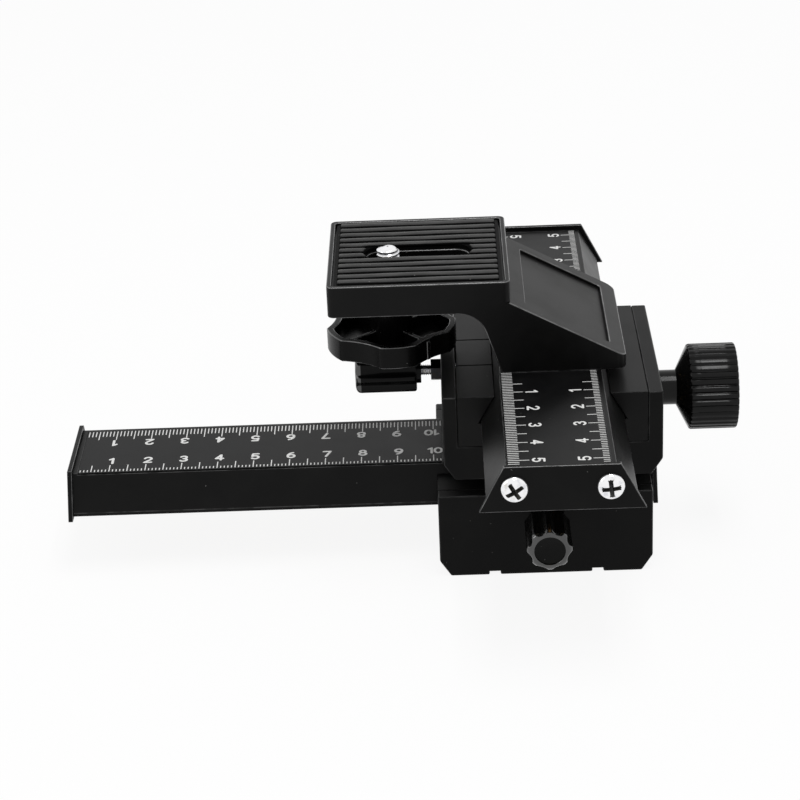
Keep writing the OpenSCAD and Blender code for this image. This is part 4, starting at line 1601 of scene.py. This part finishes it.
@dataclass(frozen=True)
class CrossScrew:
    """A domed screw with a cross recess, whose heights are shares of the head's."""

    head_d: float
    head_h: float
    shank_d: float = 3.0
    shank_l: float = 9.0
    shank_edge: float = 0.3
    arm: float = 0.31
    arm_w: float = 0.15
    arm_foot: float = 0.35
    arm_least: float = 1.15
    above: float = 0.4
    recess_levels: tuple[Point, ...] = ((0.05, 0.12), (0.2, 0.42), (0.72, 1.0))
    recess_top: float = 1.12
    recess_reach: float = 0.66
    recess_least: float = 0.12
    dome_fall: float = 0.36
    dome_power: float = 2.4
    dome: tuple[Point, ...] = (
        (0.16, 1.0),
        (0.32, 0.985),
        (0.5, 0.93),
        (0.66, 0.83),
        (0.8, 0.68),
        (0.9, 0.5),
        (0.965, 0.3),
        (0.995, 0.1),
    )

    def recess(self, turn: float) -> Solid:
        """Return the tool that cuts the recess, which narrows downward.

        Args:
            turn: The angle of its arms.

        Returns:
            The closed mesh, along Z.
        """
        shape = bmesh.new()
        levels = [(self.head_h * height, share) for height, share in self.recess_levels]
        rings = []
        for level, share in [*levels, (self.head_h + self.above, self.recess_top)]:
            narrowed = self.arm_foot + (1.0 - self.arm_foot) * share
            half = self.arm_w * self.head_d / 2.0 * narrowed
            far = max(self.arm * self.head_d * share, half * self.arm_least)
            ring = []
            for quarter in range(4):
                spin = Matrix.Rotation(turn + quarter * math.pi / 2.0, 3, "Z")
                for x, y in ((far, -half), (far, half), (half, half)):
                    ring.append(shape.verts.new(spin @ Vector((x, y, level))))
            rings.append(ring)
        skin(shape, rings)
        return shape

    def in_recess(self, spot: Vector) -> bool:
        """Find whether a spot lies in the recess.

        Args:
            spot: The spot, where the head's underside is at Z 0.

        Returns:
            Whether it lies in the head, near its middle and clearly below its dome.
        """
        reach = math.hypot(spot.x, spot.y) / (self.head_d / 2.0)
        dome = self.head_h * (1.0 - self.dome_fall * reach ** self.dome_power)
        top = dome - min(self.recess_least, self.head_h / 6.0)
        return reach < self.recess_reach and 0.02 < spot.z < top

    def mesh(self, seat: Place, outward: Place, turn: float) -> Solid:
        """Build one screw.

        Args:
            seat: The middle of the underside of its head.
            outward: The way that its head points.
            turn: The angle of its recess.

        Returns:
            The closed mesh.
        """
        half = self.head_d / 2.0
        shank = self.shank_d / 2.0
        profile = [
            (-self.shank_l, shank - self.shank_edge),
            (-self.shank_l + self.shank_edge, shank),
            (0.0, shank),
            (0.0, half - 0.1),
            (min(0.08, self.head_h * 0.1), half),
            *[(self.head_h * share, half * reach) for share, reach in self.dome],
        ]
        shape = carve(Turning().mesh(profile), self.recess(turn))
        # Faces in the recess take the second finish, which is painted shade.
        for face in shape.faces:
            face.material_index = int(self.in_recess(face.calc_center_median()))
        aim = Vector(outward).to_track_quat("Z", "X").to_matrix()
        bmesh.ops.rotate(shape, matrix=aim, verts=shape.verts)
        bmesh.ops.translate(shape, vec=seat, verts=shape.verts)
        return shape


# Sub-assemblies

FRAME_EDGE = Rounding(0.4)
JAW_EDGE = Rounding(0.22)
RAIL_EDGE = Rounding(0.16)
CAP_EDGE = Rounding(0.15)
WHEEL_EDGE = Rounding(0.25, sharpest=60.0)
BRACKET_EDGE = Rounding(0.25, kept=((-9.2, 28.1, 77.0), (-9.2, -20.3, 77.0)), kept_reach=1.6)


@dataclass
class Unit:
    """What the block and the carriage share: a frame with jaws, a lock and a drive."""

    prefix: str
    jaws: tuple[str, ...]
    dark_parts: tuple[str, ...]
    ahead: Place
    drive_foot: Place
    lock_end: Place
    lock_screw_end: Place

    def node(self, part: str) -> str:
        """Return the name of the node of one of the unit's parts."""
        return f"{self.prefix}_{part}"

    def dress(self) -> None:
        """Give the unit's own nodes their finishes."""
        FRAME_EDGE.dress(self.node("frame"), BLOCK)
        for jaw in self.jaws:
            JAW_EDGE.dress(self.node(jaw + "_jaw"), JAW)
        coat(DARK_STEEL, *map(self.node, self.dark_parts))
        coat(STEEL, self.node("drive_shaft"))
        coat(BRASS, self.node("pinion"), self.node("drive_bush"))

    def fit_knobs(self) -> None:
        """Fit the lock knob with its screw, and the drive knob."""
        LockKnob().dress(self.node("lock_knob"), self.lock_end, self.ahead)
        LockScrew().dress(self.node("lock_screw"), self.lock_screw_end, self.ahead)
        DriveKnob().dress(self.node("drive_knob"), self.drive_foot, self.ahead)


@dataclass
class TripodBlock(Unit):
    """The block that stands on the tripod, with its jaws, lock and drive."""

    prefix: str = "base"
    jaws: tuple[str, ...] = ("fixed", "left", "right", "clamp")
    dark_parts: tuple[str, ...] = ("jaw_screws", "lock_nut", "shaft_clip")
    ahead: Place = BACK
    drive_foot: Place = (0.0, 30.45, 12.0)
    lock_end: Place = (0.0, -53.15, 19.8)
    lock_screw_end: Place = (0.0, -44.7, 19.8)
    insert_d: float = 11.0
    socket_d: float = 6.4
    socket_h: float = 5.0
    socket_thread: Thread = Thread(pitch=1.27, depth=0.45, around=64, per_turn=12)

    def cut_socket(self) -> None:
        """Replace the tripod insert by one with its thread cut."""
        thread = self.socket_thread
        shape = thread.socket(self.insert_d / 2.0, self.socket_d / 2.0, self.socket_h)
        stand_in("tripod_insert", "thread", shape, STEEL)


@dataclass
class Carriage(Unit):
    """The carriage that stands across the lower rail."""

    prefix: str = "carriage"
    jaws: tuple[str, ...] = ("fixed", "front", "rear", "clamp")
    dark_parts: tuple[str, ...] = ("jaw_screws", "screws", "lock_nut", "shaft_clip")
    ahead: Place = RIGHT
    drive_foot: Place = (32.75, 0.0, 41.3)
    lock_end: Place = (-50.85, 0.0, 49.1)
    lock_screw_end: Place = (-42.4, 0.0, 49.1)


@dataclass
class LowerSlide:
    """The long rail that runs through the tripod block, with its scale."""

    zero_x: float = -130.0
    front_y: float = -13.35
    back_y: float = 12.2
    plate_z: float = 27.35
    first: int = 2
    last: int = 102
    front: MarkStyle = MarkStyle(
        1.2, 3.8, 3.8, 5.0, start=0.4, shift=0.3, number_h=3.55, stroke_share=0.2
    )
    back: MarkStyle = MarkStyle(
        3.2, 5.2, 5.4, 5.65, shift=-0.3, number_h=3.55, stroke_share=0.2
    )
    cap_x: Point = (-131.3, 31.3)
    cap_screw_y: float = 12.0
    cap_screw_z: float = 22.6
    cap_screw: CrossScrew = CrossScrew(head_d=6.6, head_h=0.43)
    screw_turns: Point = (-0.5, 1.3)

    def dress(self) -> None:
        """Give the lower slide's nodes their finishes."""
        RAIL_EDGE.dress("lower_rail", RAIL_X)
        coat(BRASS, "lower_rack")
        coat(PLATE, "lower_scale")
        CAP_EDGE.dress("lower_left_cap", CAP)
        CAP_EDGE.dress("lower_right_cap", CAP)

    def fit_screws(self) -> None:
        """Fit the flat screws of both caps."""
        parts = []
        for way, place in zip((-1.0, 1.0), self.cap_x):
            for side, turn in zip((-1.0, 1.0), self.screw_turns):
                seat = (place, side * self.cap_screw_y, self.cap_screw_z)
                parts.append(self.cap_screw.mesh(seat, (way, 0.0, 0.0), turn))
        stand_in("lower_cap_screws", "cut", join(parts), CHROME, RECESS_SHADE)

    def print_scale(self) -> None:
        """Print both rows of the scale, the back one turned round."""
        sheet = MarkSheet()
        sides = ((self.front_y, 1.0, self.front), (self.back_y, -1.0, self.back))
        for edge, way, style in sides:
            zero = Vector((self.zero_x, edge, self.plate_z))
            row = MarkRow(zero, Vector(RIGHT), Vector((0.0, way, 0.0)), style)
            sheet.print_row(row, self.first, self.last)
        make_piece("lower_scale_marks", sheet.shape, INK, Body.CARRIAGE)


@dataclass
class UpperSlide:
    """The short-travel rail across the carriage, with a scale at each end."""

    middle: Point = (2.3, 2.8)
    plate_z: float = 56.65
    zero: float = 25.3
    left_edge: float = -13.35
    right_edge: float = 12.2
    front_first: int = -2
    back_first: int = 1
    last: int = 53
    left: MarkStyle = MarkStyle(2.85, 5.4, 5.4, 6.0, number_h=3.4)
    right: MarkStyle = MarkStyle(1.65, 4.15, 4.15, 4.65, number_h=3.4)
    cap_y: Point = (-78.5, 84.1)
    cap_screw_x: Point = (-9.7, 14.3)
    cap_screw_z: float = 51.9
    cap_screw: CrossScrew = CrossScrew(head_d=7.2, head_h=2.25)
    screw_turns: Point = (0.55, 0.1)

    def dress(self) -> None:
        """Give the upper slide's nodes their finishes."""
        RAIL_EDGE.dress("upper_rail", RAIL_Y)
        coat(BRASS, "upper_rack")
        coat(PLATE, "upper_front_scale", "upper_back_scale")
        CAP_EDGE.dress("upper_front_cap", CAP)
        CAP_EDGE.dress("upper_back_cap", CAP)

    def fit_screws(self) -> None:
        """Fit the pan head screws of both caps."""
        parts = []
        for way, place in zip((-1.0, 1.0), self.cap_y):
            for x, turn in zip(self.cap_screw_x, self.screw_turns):
                seat = (x, place, self.cap_screw_z)
                parts.append(self.cap_screw.mesh(seat, (0.0, way, 0.0), turn))
        stand_in("upper_cap_screws", "cut", join(parts), CHROME, RECESS_SHADE)

    def print_scales(self) -> None:
        """Print the rows of both scales, which count away from the middle."""
        scales = (("front", -1.0, self.front_first), ("back", 1.0, self.back_first))
        sides = ((self.left_edge, 1.0, self.left), (self.right_edge, -1.0, self.right))
        for name, away, first in scales:
            sheet = MarkSheet()
            start = self.middle[1] + away * self.zero
            for edge, way, style in sides:
                zero = Vector((self.middle[0] + edge, start, self.plate_z))
                row = MarkRow(zero, Vector((0.0, away, 0.0)), Vector((way, 0.0, 0.0)), style)
                sheet.print_row(row, first, self.last)
            make_piece(f"upper_{name}_marks", sheet.shape, INK, Body.UPPER)


@dataclass(frozen=True)
class RibbedPad:
    """The rubber pad in the platform: a sheet with rounded ribs, and a window."""

    middle: Point = (-32.4, 3.9)
    size: Point = (45.0, 44.7)
    floor_z: float = 81.7
    sheet_h: float = 1.0
    rib_h: float = 0.8
    rib_foot: float = 0.3
    ribs: int = 12
    pitch: float = 3.709
    rib_w: float = 2.35
    rib_l: float = 43.2
    rib_step: float = 1.8
    rib_end: float = 0.7
    end_stations: tuple[float, ...] = (0.0, 0.25, 0.6, 1.0)
    window: Point = (29.6, 9.3)
    corner: float = 1.2
    around: int = 10
    sway: float = 0.13
    sway_rate: float = 0.23
    sway_turn: float = 2.1

    def line(self, number: int) -> float:
        """Return a rib's distance from the pad's middle line."""
        return (number - (self.ribs - 1) / 2.0) * self.pitch

    def window_reach(self, aside: float) -> float:
        """Return how far the window reaches along X.

        Args:
            aside: The distance from the pad's middle line.

        Returns:
            The reach from the middle, or 0 beside the window.
        """
        half = self.window[1] / 2.0
        if abs(aside) >= half:
            return 0.0
        return self.window[0] / 2.0 - half + math.sqrt(half ** 2 - aside ** 2)

    def section(self) -> list[Place]:
        """Return a rib's outline, over its top and back under it.

        Returns:
            Points, each a distance from the rib's middle, a height and a sway.
        """
        half = self.rib_w / 2.0
        points = []
        for i in range(self.around + 1):
            turn = math.pi * i / self.around
            side = -math.cos(turn)
            side = math.copysign(abs(side) ** 0.75, side)
            points.append((side * half, self.rib_h * math.sin(turn) ** 0.6, self.sway))
        return [*points, (half, -self.rib_foot, 0.0), (-half, -self.rib_foot, 0.0)]

    def shares(self, length: float) -> list[float]:
        """Return where a rib's rings stand.

        Args:
            length: The rib's length.

        Returns:
            Distances from its start, closer together near both ends.
        """
        steps = max(2, int(length / self.rib_step))
        inner = [1.0 + (length - 2.0) * i / steps for i in range(1, steps)]
        last = [length - share for share in reversed(self.end_stations)]
        return [*self.end_stations, *inner, *last]

    def rib(self, number: int, ends: Callable[[float], Point]) -> Solid:
        """Build one stretch of a rib.

        Args:
            number: The rib's number.
            ends: Gives its two ends along X at a distance from the pad's middle line.

        Returns:
            The closed mesh.
        """
        shape = bmesh.new()
        line = self.line(number)
        top = self.floor_z + self.sheet_h
        beside = self.window[1] / 2.0
        length = ends(line)[1] - ends(line)[0]
        rings = []
        for share in self.shares(length):
            near = min(share, length - share)
            fall = max(0.0, 1.0 - near / self.rib_end)
            tall = 0.25 + 0.75 * math.sqrt(1.0 - fall ** 2)
            ring = []
            for across, height, sway in self.section():
                start, end = ends(line + across)
                x = start + (end - start) * share / length
                swing = math.sin(self.sway_rate * x + self.sway_turn * number)
                aside = line + across + sway * swing * min(1.0, near / 2.0)
                if abs(x) < self.window_reach(0.0) - 0.01 and abs(line) > beside:
                    aside = math.copysign(max(abs(aside), beside), line)
                level = top + (height * tall if sway else height)
                spot = (self.middle[0] + x, self.middle[1] + aside, level)
                ring.append(shape.verts.new(spot))
            rings.append(ring)
        skin(shape, rings)
        return shape

    def sheet(self) -> Solid:
        """Build the sheet under the ribs, with its window.

        Returns:
            The closed mesh.
        """
        shape = bmesh.new()
        half_x, half_y = self.size[0] / 2.0, self.size[1] / 2.0
        outer = []
        for i, (sx, sy) in enumerate(((1, 1), (-1, 1), (-1, -1), (1, -1))):
            middle = (sx * (half_x - self.corner), sy * (half_y - self.corner))
            outer += arc(middle, (self.corner, self.corner), 90.0 * i, 90.0 * i + 90.0, 6)
        half = self.window[1] / 2.0
        reach = self.window[0] / 2.0 - half
        inner = arc((reach, 0.0), (half, half), -90.0, 90.0, 24)
        inner += arc((-reach, 0.0), (half, half), 90.0, 270.0, 24)
        edges = []
        for rim in (outer, inner):
            places = [(self.middle[0] + x, self.middle[1] + y, self.floor_z) for x, y in rim]
            verts = [shape.verts.new(place) for place in places]
            edges += [shape.edges.new(pair) for pair in zip(verts, [*verts[1:], verts[0]])]
        filled = bmesh.ops.triangle_fill(shape, use_beauty=True, use_dissolve=False, edges=edges)
        faces = [item for item in filled["geom"] if isinstance(item, bmesh.types.BMFace)]
        raised = bmesh.ops.extrude_face_region(shape, geom=faces)
        moved = [item for item in raised["geom"] if isinstance(item, bmesh.types.BMVert)]
        bmesh.ops.translate(shape, vec=(0.0, 0.0, self.sheet_h), verts=moved)
        return shape

    def build(self) -> Solid:
        """Build the whole pad.

        Returns:
            Its mesh: the sheet, and the ribs that stand in it.
        """
        half = self.rib_l / 2.0
        parts = [self.sheet()]
        for number in range(self.ribs):
            if abs(self.line(number)) + self.rib_w / 2.0 < self.window[1] / 2.0:
                parts.append(self.rib(number, lambda aside: (-half, -self.window_reach(aside))))
                parts.append(self.rib(number, lambda aside: (self.window_reach(aside), half)))
            else:
                parts.append(self.rib(number, lambda aside: (-half, half)))
        return join(parts)


@dataclass
class CameraBracket:
    """The bracket that carries the camera, with its pad."""

    pad: RibbedPad = RibbedPad()

    def dress(self) -> None:
        """Give the bracket's nodes their finishes."""
        BRACKET_EDGE.dress("camera_bracket", CASTING)
        coat(DARK_STEEL, "bracket_screws")

    def lay_pad(self) -> None:
        """Replace the plain pad by one with moulded ribs."""
        stand_in("camera_pad", "ribbed", self.pad.build(), RUBBER)


@dataclass
class CameraScrew:
    """The screw that holds the camera, its guide, washer and thumb wheel."""

    axis: Point = (-40.5, 3.9)
    neck_d: float = 4.0
    thread_d: float = 6.35
    foot_z: float = 57.8
    shoulder_z: float = 80.1
    tip_z: float = 84.8
    tip_h: float = 1.058
    thread: Thread = Thread(pitch=1.27, depth=0.55, around=64, per_turn=14)

    def dress(self) -> None:
        """Give the screw's nodes their finishes."""
        coat(BRASS, "slot_guide")
        coat(DARK_STEEL, "hub_washer")
        WHEEL_EDGE.dress("thumb_wheel", WHEEL)

    def profile(self, height: float) -> tuple[float, bool]:
        """Return the screw's outline.

        Args:
            height: The height above the table.

        Returns:
            The radius there, and whether it is threaded.
        """
        if height < self.shoulder_z:
            return self.neck_d / 2.0, False
        ball = (self.thread_d ** 2 / 4.0 + self.tip_h ** 2) / (2.0 * self.tip_h)
        above = height - (self.tip_z - ball)
        dome = math.sqrt(max(0.0, ball ** 2 - above ** 2)) if above > 0.0 else ball
        return min(self.thread_d / 2.0, dome), True

    def cut_thread(self) -> None:
        """Replace the plain screw by one with its thread cut."""
        shape = self.thread.turned(self.profile, self.foot_z, self.tip_z, [self.shoulder_z])
        bmesh.ops.translate(shape, vec=(*self.axis, 0.0), verts=shape.verts)
        stand_in("camera_screw", "thread", shape, CHROME_THREAD)
        coat(CHROME, "camera_screw")


# Studio


@dataclass(frozen=True)
class SoftBox:
    """A lamp with its place, the point that it faces, its two sides and its power."""

    name: str
    place: Place
    aim: Place
    size: Point
    watts: float

    def hang(self) -> None:
        """Hang the lamp."""
        data = bpy.data.lights.new(self.name, "AREA")
        data.shape = "RECTANGLE"
        data.size, data.size_y = self.size
        data.energy = self.watts
        way = Vector(self.aim) - Vector(self.place)
        turn = way.to_track_quat("-Z", "Y").to_matrix().to_4x4()
        link(self.name, data).matrix_world = Matrix.Translation(self.place) @ turn


@dataclass
class Studio:
    """The camera, the white floor and the lamps, in metres."""

    eye: Place = (-0.025, -0.63049, 0.33885)
    right: Place = (0.99931, -0.0005, -0.03703)
    up: Place = (0.03366, 0.42883, 0.90276)
    ahead: Place = (-0.01543, 0.90338, -0.42855)
    focal_px: float = 2503.35
    middle_px: Point = (411.15, 400.72)
    picture_px: float = 800.0
    sensor: float = 36.0
    clip: Point = (0.02, 30.0)
    floor_half: float = 4.0
    floor_parts: int = 24
    unseen_light: float = 0.5
    lamps: tuple[SoftBox, ...] = (
        SoftBox("top_box", (0.0, -0.13, 1.1), (0.0, -0.12, 0.05), (0.18, 0.8), 3.3),
        SoftBox("right_strip", (0.17, -0.13, 1.1), (0.17, -0.12, 0.05), (0.08, 0.6), 2.2),
        SoftBox("left_box", (-0.9, -0.3, 0.6), (-0.03, 0.0, 0.05), (0.3, 0.5), 1.6),
    )

    def set_camera(self) -> None:
        """Place the camera where the photograph was taken from."""
        data = bpy.data.cameras.new("photo_camera")
        data.sensor_width = self.sensor
        data.lens = self.focal_px * self.sensor / self.picture_px
        data.shift_x = (self.picture_px / 2.0 - self.middle_px[0]) / self.picture_px
        data.shift_y = (self.middle_px[1] - self.picture_px / 2.0) / self.picture_px
        data.clip_start, data.clip_end = self.clip
        camera = link("photo_camera", data)
        axes = Matrix((self.right, self.up, [-part for part in self.ahead])).transposed()
        camera.matrix_world = Matrix.Translation(self.eye) @ axes.to_4x4()
        bpy.context.scene.camera = camera

    def lay_floor(self) -> None:
        """Lay the white floor under the block."""
        shape = bmesh.new()
        parts = self.floor_parts
        bmesh.ops.create_grid(shape, x_segments=parts, y_segments=parts, size=self.floor_half)
        floor = link("studio_floor", to_mesh("studio_floor", shape))
        floor.data.materials.append(PAPER.material())

    def light_world(self) -> None:
        """Fill the room with an even white light that also stands behind the object."""
        world = bpy.data.worlds.new("studio_room")
        world.use_nodes = True
        bpy.context.scene.world = world
        shader = Shader(world.node_tree)
        strength = self.unseen_light + (1.0 - self.unseen_light) * shader.seen()
        glow = {"Color": (1.0, 1.0, 1.0, 1.0), "Strength": strength}
        light = shader.add("ShaderNodeBackground", {}, glow)
        shader.add("ShaderNodeOutputWorld", {}, {"Surface": light})

    def light(self) -> None:
        """Hang the lamps."""
        for lamp in self.lamps:
            lamp.hang()


def main() -> None:
    """Build and dress the rail, and set up the studio."""
    logging.basicConfig(level=logging.INFO, format="%(name)s: %(message)s")
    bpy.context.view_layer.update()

    studio = Studio()
    studio.set_camera()
    studio.lay_floor()
    studio.light_world()
    studio.light()
    bpy.context.scene.view_settings.view_transform = "Standard"

    block = TripodBlock()
    block.dress()
    block.fit_knobs()
    block.cut_socket()

    lower = LowerSlide()
    lower.dress()
    lower.fit_screws()
    lower.print_scale()

    carriage = Carriage()
    carriage.dress()
    carriage.fit_knobs()

    upper = UpperSlide()
    upper.dress()
    upper.fit_screws()
    upper.print_scales()

    bracket = CameraBracket()
    bracket.dress()
    bracket.lay_pad()

    screw = CameraScrew()
    screw.dress()
    screw.cut_thread()


if __name__ == "__main__":
    main()
